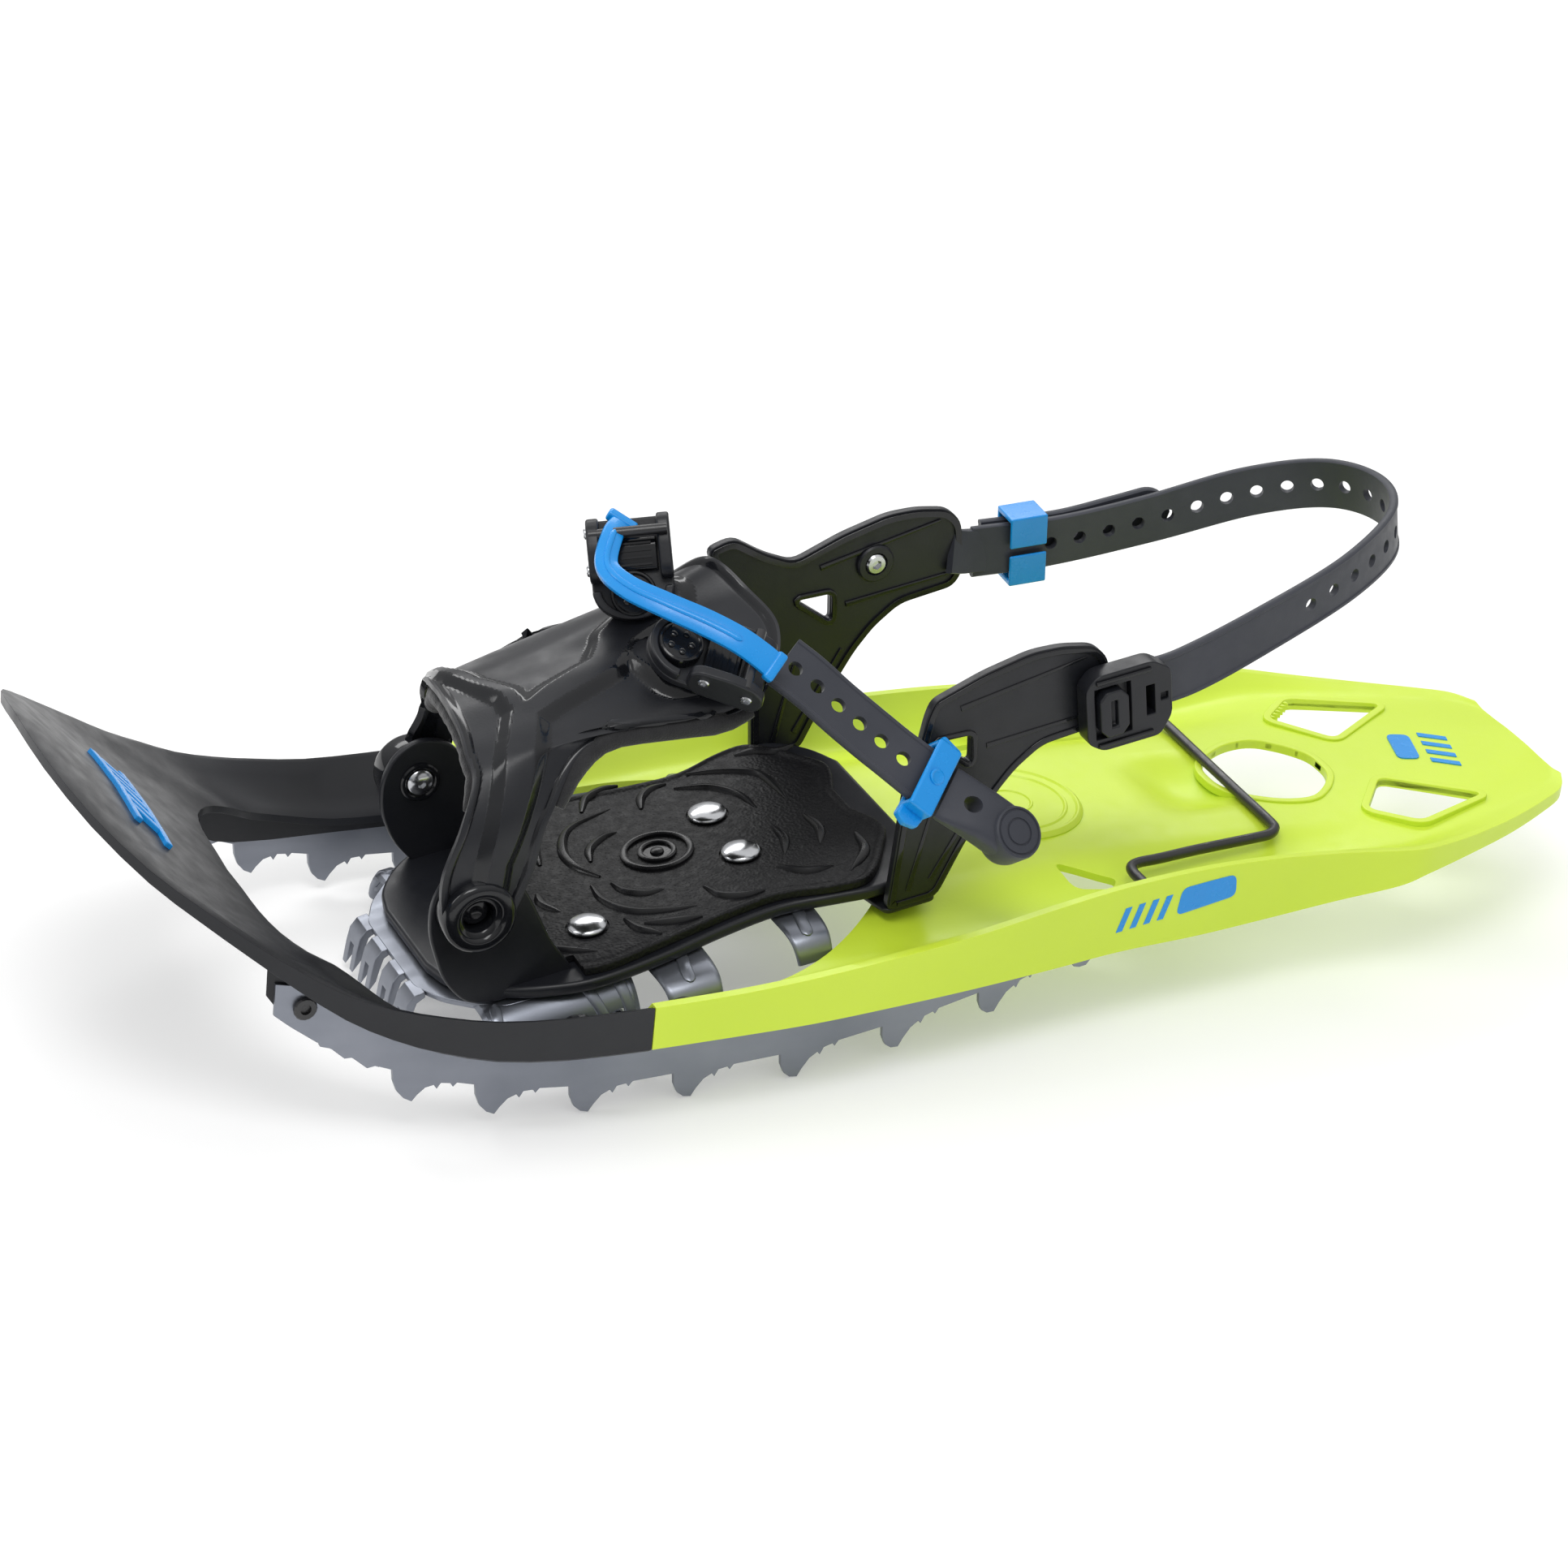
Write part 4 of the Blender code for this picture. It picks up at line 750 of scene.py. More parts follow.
def tread_pad():
    """Moulded pad: rolled edge, a shallow step inside it, curved ribs and a medallion."""
    build = bmesh.new()
    steps = ((0.0, -3.0), (0.0, -0.9), (0.35, -0.3), (1.0, 0.0), (2.0, 0.0), (2.8, -0.45),
             (3.6, -0.8), (6.0, -0.8), (6.8, -0.45))
    rows = [[build.verts.new((p.x, p.y, level)) for p in pad_outline(shrink)]
            for shrink, level in steps]
    pad = add_piece("pad_sole", skinned(build, rows), "tread_rubber", replaces=["tread_pad"],
                    degrees=28.0)
    cutters = []
    for sign, (u, _) in ((-1, LEFT_BOSS), (1, RIGHT_BOSS)):
        low, high = u - 20.0, u + 36.3
        outline = ((low, 46.0), (high, 46.0), (high, 64.0), (low, 64.0))
        cutters.append(cutter(prism_mesh([(a, sign * b) for a, b in outline], -6.0, 3.0)))
    for u, y in ((-8.5, 32.0), (58.5, 15.1)):
        for sign in (1, -1):
            cutters.append(cutter(turned_mesh([(7.9, -1.2), (7.9, 2.0)], (u, sign * y, 0),
                                              (0, 0, 1))))
    cut(pad, cutters)
    ribs = join_meshes([rib_mesh(points) for points in PAD_RIBS])
    bmesh.ops.translate(ribs, vec=(0, 0, -0.4), verts=ribs.verts)
    add_piece("pad_ribs", ribs, "tread_gloss", degrees=50.0)
    pad_medallion()


def pad_medallion():
    """Plain oval ring round a smaller round one with a dome in its middle."""
    centre = Vector((*MEDALLION, 0.0))
    band = bmesh.new()
    rows = []
    for k in range(MEDALLION_SIDES):
        angle = 2 * math.pi * k / MEDALLION_SIDES
        point = centre + Vector((12.4 * math.cos(angle), 11.6 * math.sin(angle), 0.0))
        out = (point - centre).normalized()
        rows.append([band.verts.new(point + out * a + Vector((0, 0, b))) for a, b in
                     ((-1.3, -1.0), (-1.2, 0.5), (-0.5, 1.0), (0.5, 1.0), (1.2, 0.5), (1.3, -1.0))])
    hooped(band, rows)
    inner = turned_mesh([(7.2, -1.0), (7.2, 0.4), (6.6, 0.8), (5.9, 0.8), (5.3, 0.4), (5.3, -0.4),
                         (2.6, -0.4), (2.4, 0.3), (1.6, 0.8), (0.4, 0.9)],
                        centre, (0, 0, 1), 48)
    add_piece("pad_medallion", join_meshes([band, inner]), "tread_gloss", degrees=40.0)


# ---------------------------------------------------------------- straps

# binding coordinates for the path along the middle of each strap
INSTEP_STRAP = ((71.3, -38.7, 87.4), (78.0, -45.3, 80.3), (86.0, -54.5, 70.5),
                (94.8, -63.5, 60.4), (102.8, -71.8, 51.8), (112.1, -76.4, 41.5))
HEEL_STRAP = ((193.0, -60.0, 50.5), (217.0, -59.0, 49.0), (255.0, -54.0, 54.0),
              (295.0, -43.0, 58.0), (325.0, -22.0, 58.0), (335.0, 4.0, 56.5),
              (326.0, 28.0, 55.0), (300.0, 43.0, 52.0), (262.0, 52.0, 47.0),
              (225.0, 57.0, 46.0), (190.5, 59.0, 50.0))
HEEL_STRAP_TAIL = ((272.0, 55.9, 48.3), (250.0, 58.7, 46.8), (225.0, 61.6, 46.0),
                   (196.0, 63.9, 49.2))
STRAP_FACE = Vector((0.34, -0.80, 0.49))
LEVER_PATH = ((38.0, 19.0, 125.5), (31.0, 11.0, 125.5), (23.5, -1.0, 121.5),
              (26.0, -12.5, 118.0), (35.0, -25.0, 114.0), (45.5, -34.5, 108.5),
              (54.0, -42.3, 103.0), (60.2, -47.0, 97.0), (63.5, -49.8, 93.0))
# across a strap: share of the half width, share of the half thickness
STRAP_SECTION = ((1.0, 0.0), (0.985, 0.6), (0.94, 1.0), (0.84, 1.0), (0.80, 0.74), (0.0, 0.74),
                 (-0.80, 0.74), (-0.84, 1.0), (-0.94, 1.0), (-0.985, 0.6), (-1.0, 0.0),
                 (-0.985, -0.6), (-0.94, -1.0), (0.0, -1.0), (0.94, -1.0), (0.985, -0.6))
PLAIN_SECTION = ((1.0, 0.0), (0.94, 0.75), (0.8, 1.0), (0.0, 1.15), (-0.8, 1.0), (-0.94, 0.75),
                 (-1.0, 0.0), (-0.94, -0.75), (-0.8, -1.0), (0.0, -1.0), (0.8, -1.0),
                 (0.94, -0.75))


def frame_matrix(origin, along, normal):
    """Axes with x along, z close to normal."""
    x_axis = Vector(along).normalized()
    y_axis = Vector(normal).cross(x_axis).normalized()
    z_axis = x_axis.cross(y_axis)
    turn = Matrix((x_axis, y_axis, z_axis)).transposed().to_4x4()
    return Matrix.Translation(Vector(origin)) @ turn


def steady(direction):
    """Facing that is the same all along a strap."""
    return lambda point, tangent: Vector(direction)


def outward(point, tangent):
    """Level direction away from the middle of the heel loop."""
    level = Vector((point.x - 240.0, point.y, 0.0))
    return level - tangent * level.dot(tangent)


def strap_mesh(path, width, thickness, facing, section=STRAP_SECTION, round_ends=(False, False),
               widths=None):
    """Strap of a given section along a path; facing(point, tangent) is its outer side."""
    build = bmesh.new()
    rows = []
    last = len(path) - 1
    lengths = [0.0]
    for start, end in zip(path, path[1:]):
        lengths.append(lengths[-1] + (end - start).length)
    for i, point in enumerate(path):
        tangent = (path[min(i + 1, last)] - path[max(i - 1, 0)]).normalized()
        side = tangent.cross(facing(point, tangent)).normalized()
        normal = side.cross(tangent).normalized()
        half = width / 2 * (widths(i / last) if widths else 1.0)
        for active, reach in zip(round_ends, (lengths[i], lengths[-1] - lengths[i])):
            if active and reach < half:
                half *= max(0.25, (1 - (1 - reach / half) ** 2) ** 0.5)
        rows.append([build.verts.new(point + side * a * half + normal * b * thickness / 2)
                     for a, b in section])
    return skinned(build, rows)


def punches(path, start, pitch, count, radius, facing):
    """Round cutters at even distances along a path, joined in one mesh."""
    rods = []
    travelled = 0.0
    wanted = [start + pitch * i for i in range(count)]
    for here, there in zip(path, path[1:]):
        span = (there - here).length
        while wanted and travelled + span >= wanted[0]:
            point = here.lerp(there, (wanted[0] - travelled) / span)
            tangent = (there - here).normalized()
            normal = facing(point, tangent)
            normal = (normal - tangent * normal.dot(tangent)).normalized() * 6.0
            rods.append(rod_mesh(point - normal, point + normal, radius, 28))
            wanted.pop(0)
        travelled += span
    return cutter(join_meshes(rods))


def box_mesh(size, placed):
    """Box about the origin of a placed frame."""
    build = bmesh.new()
    bmesh.ops.create_cube(build, size=1.0)
    bmesh.ops.scale(build, vec=size, verts=build.verts)
    bmesh.ops.transform(build, matrix=placed, verts=build.verts)
    return build


def plate_mesh(outline, low, high, placed):
    """Prism of an outline in the x, y plane of a placed frame."""
    return prism_mesh(outline, low, high, lambda a, b, c: placed @ Vector((a, b, c)))


def heel_straps():
    """Perforated strap round the heel, its loose end and its root on the far wing."""
    path = spline(HEEL_STRAP, 12)
    strap = add_piece("heel_band", strap_mesh(path, 20.0, 3.2, outward), "slate_rubber",
                      replaces=["heel_strap"], degrees=40.0)
    cut(strap, [punches(path, 82.0, 11.8, 20, 2.5, outward)])
    path = spline(HEEL_STRAP_TAIL, 14)
    tail = strap_mesh(path, 20.0, 3.2, outward, round_ends=(True, False))
    tail = add_piece("heel_band_tail", tail, "slate_rubber",
                     replaces=["heel_strap_tail"], degrees=40.0)
    cut(tail, [punches(path, 16.0, 11.8, 3, 2.5, outward)])
    path = spline(((181.0, 57.0, 54.0), (187.0, 58.2, 51.6), (196.0, 59.2, 49.4)), 6)
    root = strap_mesh(path, 17.0, 3.8, outward)
    add_piece("heel_band_root", root, "slate_rubber", degrees=40.0)


def instep_band():
    """Perforated strap from the near buckle to the grip."""
    path = spline(INSTEP_STRAP, 12)
    facing = steady(STRAP_FACE)
    strap = add_piece("instep_band", strap_mesh(path, 22.0, 3.2, facing), "slate_rubber",
                      replaces=["instep_strap"], degrees=40.0)
    cut(strap, [punches(path, 5.0, 9.8, 6, 2.7, facing)])


def instep_slider():
    """Blue loop with a long inner tongue and a thumb face with a round mark."""
    along = (Vector(INSTEP_STRAP[-1]) - Vector(INSTEP_STRAP[-2])).normalized()
    placed = frame_matrix(Vector(INSTEP_STRAP[-1]) - along * 6.4 + STRAP_FACE * 0.5, along,
                          STRAP_FACE)
    outline = ((-5.0, -14.2), (5.0, -14.2), (5.0, 14.2), (-5.0, 14.2))
    clip = add_piece("instep_slider", plate_mesh(outline, -4.8, 4.8, placed), "blue_plastic",
                     body="clip", replaces=["instep_clip"])
    cut(clip, [cutter(box_mesh((20.0, 23.4, 4.8), placed))])
    softened(clip, 1.1, 3)
    tongue = ((-5.5, -17.5), (-1.0, -19.5), (4.0, -18.0), (5.0, -12.5), (-5.0, -12.5))
    piece = add_piece("instep_slider_tongue", plate_mesh(tongue, -4.4, -0.6, placed),
                      "blue_plastic", body="clip")
    softened(piece, 1.0, 3)
    wing = ((-4.5, 12.5), (5.0, 12.5), (5.5, 15.6), (-3.0, 17.0))
    piece = add_piece("instep_slider_wing", plate_mesh(wing, -0.6, 2.4, placed),
                      "blue_plastic", body="clip")
    softened(piece, 0.9, 3)
    mark = turned_mesh([(3.0, 0.0), (3.0, 0.35), (2.5, 0.6), (2.0, 0.35), (0.4, 0.35)],
                       placed @ Vector((0.0, 0.0, 4.75)), STRAP_FACE, 32)
    add_piece("instep_slider_mark", mark, "blue_plastic", body="clip")


def instep_grip():
    """Moulded grip on the strap's end: neck with a hanging hole, then a round drum."""
    along = (Vector(INSTEP_STRAP[-1]) - Vector(INSTEP_STRAP[-2])).normalized()
    placed = frame_matrix(Vector(INSTEP_STRAP[-1]) + along * 2.0, along, STRAP_FACE)
    path, widths, depths = [], [], []
    for x, z, half, thick in ((-1.0, 0.0, 10.8, 1.7), (1.0, 0.2, 10.9, 2.1),
                              (5.0, 0.8, 10.6, 3.2), (10.0, 1.6, 10.1, 4.6),
                              (15.0, 2.2, 9.8, 5.6), (21.0, 2.6, 9.6, 6.1),
                              (27.0, 2.8, 9.4, 6.2)):
        path.append(Vector((x, 0.0, z)))
        widths.append(half)
        depths.append(thick)
    build = bmesh.new()
    rows = []
    for point, half, thick in zip(path, widths, depths):
        row = []
        for k in range(40):
            angle = 2 * math.pi * k / 40
            across, up = math.cos(angle), math.sin(angle)
            squarer = 1.0 / (abs(across) ** 4 + abs(up) ** 4) ** 0.25
            row.append(build.verts.new(placed @ (point + Vector((0, half * across * squarer,
                                                                 thick * up * squarer)))))
        rows.append(row)
    grip = add_piece("instep_grip", skinned(build, rows), "slate_rubber",
                     replaces=["strap_handle"], degrees=50.0)
    centre = Vector((8.5, 0.0, 0.0))
    bore = rod_mesh(placed @ (centre - Vector((0, 0, 14))), placed @ (centre + Vector((0, 0, 14))),
                    3.2, 32)
    cut(grip, [cutter(bore)])
    axis = placed.to_3x3() @ Vector((0.0, 0.0, 1.0))
    profile = [(8.0, -4.0), (9.3, -2.8), (9.7, -1.0), (9.7, 8.2), (9.3, 9.4), (8.6, 9.7),
               (8.3, 9.2), (7.9, 9.2), (7.6, 9.7), (5.2, 9.75), (5.0, 9.3), (4.5, 9.3), (4.3, 9.75),
               (0.4, 9.8)]
    drum = turned_mesh(profile, placed @ Vector((27.0, 0, 0)), axis, 56)
    add_piece("instep_grip_drum", drum, "slate_rubber", replaces=["handle_cap"], degrees=40.0)


def lever_mesh():
    """Blue lever that joins both buckles, with a spine and a hook at each end."""
    path = spline(LEVER_PATH, 10)
    facing = steady((-0.05, -0.72, 0.69))
    lever = strap_mesh(path, 9.0, 2.8, facing, PLAIN_SECTION,
                       widths=lambda s: 0.82 + 0.3 * min(1.0, s * 1.6))
    add_piece("lever_arm", lever, "blue_plastic", body="lever",
              replaces=["quick_lever"], degrees=45.0)
    spine = strap_mesh([p + Vector((-0.05, -0.72, 0.69)) * 1.3 for p in path[8:62]], 2.2, 1.6,
                       facing, PLAIN_SECTION, round_ends=(True, True))
    add_piece("lever_spine", spine, "blue_plastic", body="lever", degrees=45.0)
    for name, at, along, size in (
            ("lever_hook_far", LEVER_PATH[0], (0.66, 0.75, 0.0), (4.0, 11.5, 4.2)),
            ("lever_hook_near", LEVER_PATH[-1], (0.6, -0.45, -0.65), (4.0, 11.5, 4.0))):
        placed = frame_matrix(Vector(at), along, (-0.05, -0.72, 0.69))
        hook = add_piece(name, box_mesh(size, placed), "blue_plastic", body="lever")
        softened(hook, 1.1, 3)


# ---------------------------------------------------------------- heel wings

WING_OUTLINE = ((94.0, -12.0), (114.0, -12.0), (126.0, 6.0), (139.5, 23.0), (148.0, 31.0),
                (159.0, 37.5), (181.5, 38.5), (186.5, 45.0), (186.5, 65.0), (181.5, 71.5),
                (169.0, 75.0), (157.0, 76.0), (138.0, 73.0), (118.0, 67.5))
WING_FRONT_ARM = ((107.0, 74.0), (95.0, 84.0), (84.0, 82.0), (90.0, 60.0), (98.0, 36.0))
WING_FRONT_STUB = ((115.0, 62.0), (111.0, 50.0), (105.0, 36.0))
WING_WINDOW = ((118.0, 51.0), (131.5, 50.0), (130.5, 39.0))
# start and end of the ribs on a wing's face
WING_RIBS = (((103.0, -6.0), (117.0, 31.0)), ((112.0, -4.0), (134.0, 26.0)),
             ((137.0, 44.0), (180.0, 45.0)), ((128.0, 62.0), (178.0, 68.0)))
WING_Y = 57.6                   # mm from the middle to a wing's inner face


def inset(outline, amount):
    """Outline moved inwards, corner by corner."""
    turning = sum(a[0] * b[1] - b[0] * a[1] for a, b in zip(outline, outline[1:] + outline[:1]))
    hand = 1.0 if turning > 0 else -1.0
    result = []
    for i, point in enumerate(outline):
        here = Vector(point)
        before = (here - Vector(outline[i - 1])).normalized()
        after = (Vector(outline[(i + 1) % len(outline)]) - here).normalized()
        first = Vector((-before.y, before.x)) * hand
        second = Vector((-after.y, after.x)) * hand
        middle = (first + second).normalized()
        reach = amount / max(middle.dot(first), 0.45)
        result.append(tuple(here + middle * reach))
    return result


def rounded(outline, radius, steps=4):
    """Outline with every corner replaced by a short curve."""
    result = []
    for i, point in enumerate(outline):
        here = Vector(point)
        before = Vector(outline[i - 1]) - here
        after = Vector(outline[(i + 1) % len(outline)]) - here
        reach = min(radius, before.length * 0.45, after.length * 0.45)
        start, end = here + before.normalized() * reach, here + after.normalized() * reach
        for k in range(steps + 1):
            t = k / steps
            curve = start * (1 - t) ** 2 + here * 2 * t * (1 - t) + end * t * t
            result.append(tuple(curve))
    return result


def band_mesh(outer, inner, low, high, place=plan_view):
    """Raised border between two outlines with equally many corners."""
    build = bmesh.new()
    lines = [(outer, low), (outer, high), (inner, high), (inner, low)]
    rows = [[build.verts.new(place(a, b, level)) for a, b in line] for line, level in lines]
    return hooped(build, rows)


def wing_faces(side, outline, place):
    """Glossy rim, window border and ribs on both faces of a wing."""
    for face, low, high in (("inner", WING_Y - 0.9, WING_Y + 0.3),
                            ("outer", WING_Y + 2.9, WING_Y + 3.8)):
        rim = band_mesh(inset(outline, 0.7), inset(outline, 3.0), low, high, place)
        softened(add_piece(f"wing_rim_{face}_{side}", rim, "black_gloss"), 0.35, 2)
        window = rounded(WING_WINDOW, 2.0)
        border = band_mesh(inset(window, -2.4), inset(window, -0.3), low, high, place)
        softened(add_piece(f"wing_window_{face}_{side}", border, "black_gloss"), 0.35, 2)
        ribs = []
        for start, end in WING_RIBS:
            start, end = Vector(start), Vector(end)
            step = Vector((-(end - start).y, (end - start).x)).normalized() * 1.1
            quad = [start + step, end + step * 0.5, end - step * 0.5, start - step]
            ribs.append(prism_mesh([tuple(p) for p in quad], low + 0.2, high - 0.2, place))
        softened(add_piece(f"wing_ribs_{face}_{side}", join_meshes(ribs), "black_gloss"), 0.3, 2)


def wing_bolt(side, sign):
    """Washer and socket screw on the inner face of a wing."""
    centre = (150.0, sign * (WING_Y - 0.2), 58.0)
    axis = (0, -sign, 0)
    washer = turned_mesh([(7.4, 0.0), (7.4, 1.2), (6.8, 1.8), (4.6, 1.9), (4.2, 1.3), (4.1, 0.0)],
                         centre, axis, 48)
    add_piece(f"wing_washer_{side}", washer, "black_plastic")
    screw = turned_mesh([(4.0, 0.0), (4.0, 1.6), (3.4, 2.3), (0.3, 2.4)], centre, axis, 48)
    screw = add_piece(f"wing_bolt_{side}", screw, "bright_steel", replaces=[f"wing_rivet_{side}"])
    far = Vector(centre) + Vector(axis) * 0.9
    cut(screw, [cutter(rod_mesh(far, far + Vector(axis) * 5, 2.0, 6))])


def heel_wings():
    """Both wings of the heel yoke, their bolts and the floor that joins them."""
    for side, sign in (("left", -1), ("right", 1)):
        front = WING_FRONT_ARM if sign > 0 else WING_FRONT_STUB
        outline = rounded([*WING_OUTLINE, *front], 4.0)

        def place(a, b, c, sign=sign):
            return (a, sign * c, b)
        wing = add_piece(f"wing_{side}", prism_mesh(outline, WING_Y, WING_Y + 3.2, place),
                         "black_plastic", replaces=["heel_yoke"] if sign > 0 else ())
        cut(wing, [cutter(prism_mesh(rounded(WING_WINDOW, 2.0), 40.0, 80.0, place))])
        softened(wing, 0.7, 2)
        wing_faces(side, outline, place)
        wing_bolt(side, sign)
    half = [(52.0, 26.0), (88.0, 30.0), (94.0, WING_Y + 3.2), (114.0, WING_Y + 3.2),
            (114.0, 44.0)]
    plate = prism_mesh(rounded(mirrored(half), 3.0), -13.5, -11.4)
    softened(add_piece("yoke_floor", plate, "black_plastic"), 0.6, 2)


def strap_clasp():
    """Blue keeper: two C blocks joined behind the strap by a short spine."""
    placed = frame_matrix((212.0, 60.2, 46.9), (-0.994, 0.055, 0.09), (0.06, 1.0, 0.0))
    blocks = []
    for low, high in ((-14.0, -1.6), (1.6, 14.0)):
        middle, length = (low + high) / 2, high - low
        blocks.append(box_mesh((15.0, length, 13.6), placed @ Matrix.Translation((0, middle, 0))))
    clasp = add_piece("strap_clasp", join_meshes(blocks), "blue_plastic",
                      body="keeper", replaces=["strap_keeper"])
    cut(clasp, [cutter(box_mesh((30.0, 23.6, 11.0), placed))])
    softened(clasp, 1.1, 3)
    spine = add_piece("strap_clasp_spine", box_mesh((11.0, 8.0, 1.5),
                      placed @ Matrix.Translation((0, 0, 6.0))), "blue_plastic", body="keeper")
    softened(spine, 0.4, 2)


def heel_clasp():
    """Near heel buckle: six-sided frame, hinged latch with a slot, two webs."""
    placed = frame_matrix((189.5, -66.4, 49.0), (1.0, 0.0, 0.0), (0.0, -1.0, 0.0))
    outline = [(-17.0, -11.0), (-17.0, 11.0), (-12.0, 15.5), (10.0, 15.5), (17.0, 10.5),
               (17.0, -8.0), (12.0, -15.5), (-11.0, -15.5)]
    body = add_piece("heel_clasp", plate_mesh(rounded(outline, 2.5), -3.8, 3.8, placed),
                     "black_plastic", replaces=["heel_buckle"])
    well = box_mesh((14.2, 20.4, 6.0), placed @ Matrix.Translation((-6.4, 0.0, 3.6)))
    slot = box_mesh((3.4, 12.0, 20.0), placed @ Matrix.Translation((8.5, 0.0, 0.0)))
    notch = box_mesh((3.0, 3.0, 4.0), placed @ Matrix.Translation((14.0, 0.0, 3.8)))
    cut(body, [cutter(well), cutter(slot), cutter(notch)])
    softened(body, 0.8, 3)
    outline = [(-5.7, -6.0), (-5.7, 6.0), (-3.0, 9.2), (3.0, 9.2), (5.7, 6.0), (5.7, -6.0),
               (3.0, -9.2), (-3.0, -9.2)]
    latch = placed @ Matrix.Translation((-7.0, 0.0, 3.4))
    piece = add_piece("heel_clasp_latch", plate_mesh(outline, -2.2, 2.8, latch),
                      "black_plastic", body="latch", replaces=["heel_latch"])
    cut(piece, [cutter(box_mesh((2.4, 10.5, 4.0), latch @ Matrix.Translation((0, 0, 2.4))))])
    softened(piece, 0.7, 3)
    for y in (-12.8, 12.8):
        web = box_mesh((22.0, 1.6, 1.4), placed @ Matrix.Translation((-2.0, y, 4.1)))
        web = add_piece(f"heel_clasp_web_{'low' if y < 0 else 'high'}", web, "black_gloss")
        softened(web, 0.4, 2)


# ---------------------------------------------------------------- buckles

def hex_screw(name, centre, axis, replaces=()):
    """Small screw with a six-sided socket."""
    axis = Vector(axis).normalized()
    head = turned_mesh([(2.1, -0.6), (2.1, 0.6), (1.7, 1.0), (0.2, 1.05)], centre, axis, 32)
    head = add_piece(name, head, "bright_steel", replaces=replaces)
    start = Vector(centre) + axis * 0.3
    cut(head, [cutter(rod_mesh(start, start + axis * 3, 1.0, 6))])


BUCKLE_CHEEKS = (
    ("outer", 1, ((-8.0, 0.8), (-8.0, 8.2), (-5.0, 10.6), (6.0, 11.6), (14.5, 10.8), (19.0, 7.5),
                  (20.0, 3.0), (18.5, -1.0), (14.0, -2.2), (-4.0, -2.2))),
    ("inner", -1, ((-8.0, 0.8), (-8.0, 6.4), (-4.0, 8.2), (8.0, 8.8), (17.0, 7.6), (20.0, 4.6),
                   (20.0, 1.4))),
)
BUCKLE_TONGUE = ((-4.0, 1.5), (-4.0, 4.4), (2.0, 5.2), (7.0, 5.2), (9.5, 4.6), (10.5, 3.2),
                 (10.5, 1.5))


def buckle_housing(side, placed, sign):
    """Foot with a collar round its end, two cheeks and the tongue between them."""
    def at(x, y, z):
        return placed @ Vector((x, y, z))

    def across(a, b, c):
        return at(a, c, b)
    bow = [math.pi * (0.5 + k / 20) for k in range(21)]
    foot = [(-11.0 + 13.4 * math.cos(t), 13.4 * math.sin(t)) for t in bow]
    foot = [*foot, (17.0, -13.4), (19.0, -11.0), (19.0, 11.0), (17.0, 13.4)]
    base = add_piece(f"buckle_foot_{side}", plate_mesh(foot, -1.7, 1.7, placed),
                     "black_plastic", replaces=[f"buckle_base_{side}"])
    softened(base, 0.8, 3)
    wall = [(x, y) for x, y in foot if x < -10.0]
    inner = [(-11.0 + (x + 11.0) * 0.78, y * 0.78) for x, y in wall]
    build = prism_mesh([*wall, *reversed(inner)], 1.2, 5.4, at)
    softened(add_piece(f"buckle_collar_{side}", build, "black_plastic"), 0.8, 2)
    for label, hand, outline in BUCKLE_CHEEKS:
        low, high = sorted((hand * sign * 9.4, hand * sign * 13.6))
        cheek = add_piece(f"buckle_wall_{label}_{side}",
                          prism_mesh(rounded(outline, 2.0), low, high, across),
                          "black_plastic", replaces=[f"buckle_cheek_{label}_{side}"])
        softened(cheek, 0.9, 3)
    tongue = prism_mesh(rounded(BUCKLE_TONGUE, 1.6), -8.8, 8.8, across)
    softened(add_piece(f"buckle_tongue_{side}", tongue, "black_gloss"), 0.8, 3)


def buckle_fittings(side, placed, sign):
    """Ridges, roller, cap with studs and two screws of a buckle."""
    turn = placed.to_3x3()
    upward = turn @ Vector((0, 0, 1))

    def at(x, y, z):
        return placed @ Vector((x, y, z))
    for k in range(4):
        x = -1.5 + 3.0 * k
        ridge = box_mesh((0.9, 14.0, 1.2), placed @ Matrix.Translation((x, 0, 5.0 + 0.1 * k)))
        add_piece(f"buckle_ridge_{k}_{side}", ridge, "black_gloss")
    roller = rod_mesh(at(12.0, -12.8, 9.4), at(12.0, 12.8, 9.4), 1.9, 32)
    add_piece(f"buckle_pin_{side}", roller, "black_steel", replaces=[f"buckle_roller_{side}"])
    profile = [(8.2, 1.5), (8.2, 5.2), (7.8, 5.9), (7.2, 6.1), (6.8, 5.7), (6.5, 5.3), (0.3, 5.4)]
    cap = turned_mesh(profile, at(-13.5, 0, 0), upward, 48)
    add_piece(f"buckle_button_{side}", cap, "black_gloss", replaces=[f"buckle_cap_{side}"],
              degrees=40.0)
    studs = []
    for k in range(5):
        angle = 2 * math.pi * k / 5
        foot = at(-13.5 + 3.9 * math.cos(angle), 3.9 * math.sin(angle), 0)
        studs.append(turned_mesh([(1.25, 5.2), (1.2, 5.8), (0.8, 6.1), (0.1, 6.15)], foot,
                                 upward, 16))
    add_piece(f"buckle_studs_{side}", join_meshes(studs), "black_gloss")
    out = turn @ Vector((0, sign, 0))
    for place, x, z in (("front", -2.5, 6.0), ("rear", 13.5, 5.0)):
        hex_screw(f"buckle_hex_{place}_{side}", at(x, sign * 13.5, z), out,
                  [f"buckle_screw_{place}_{side}"])


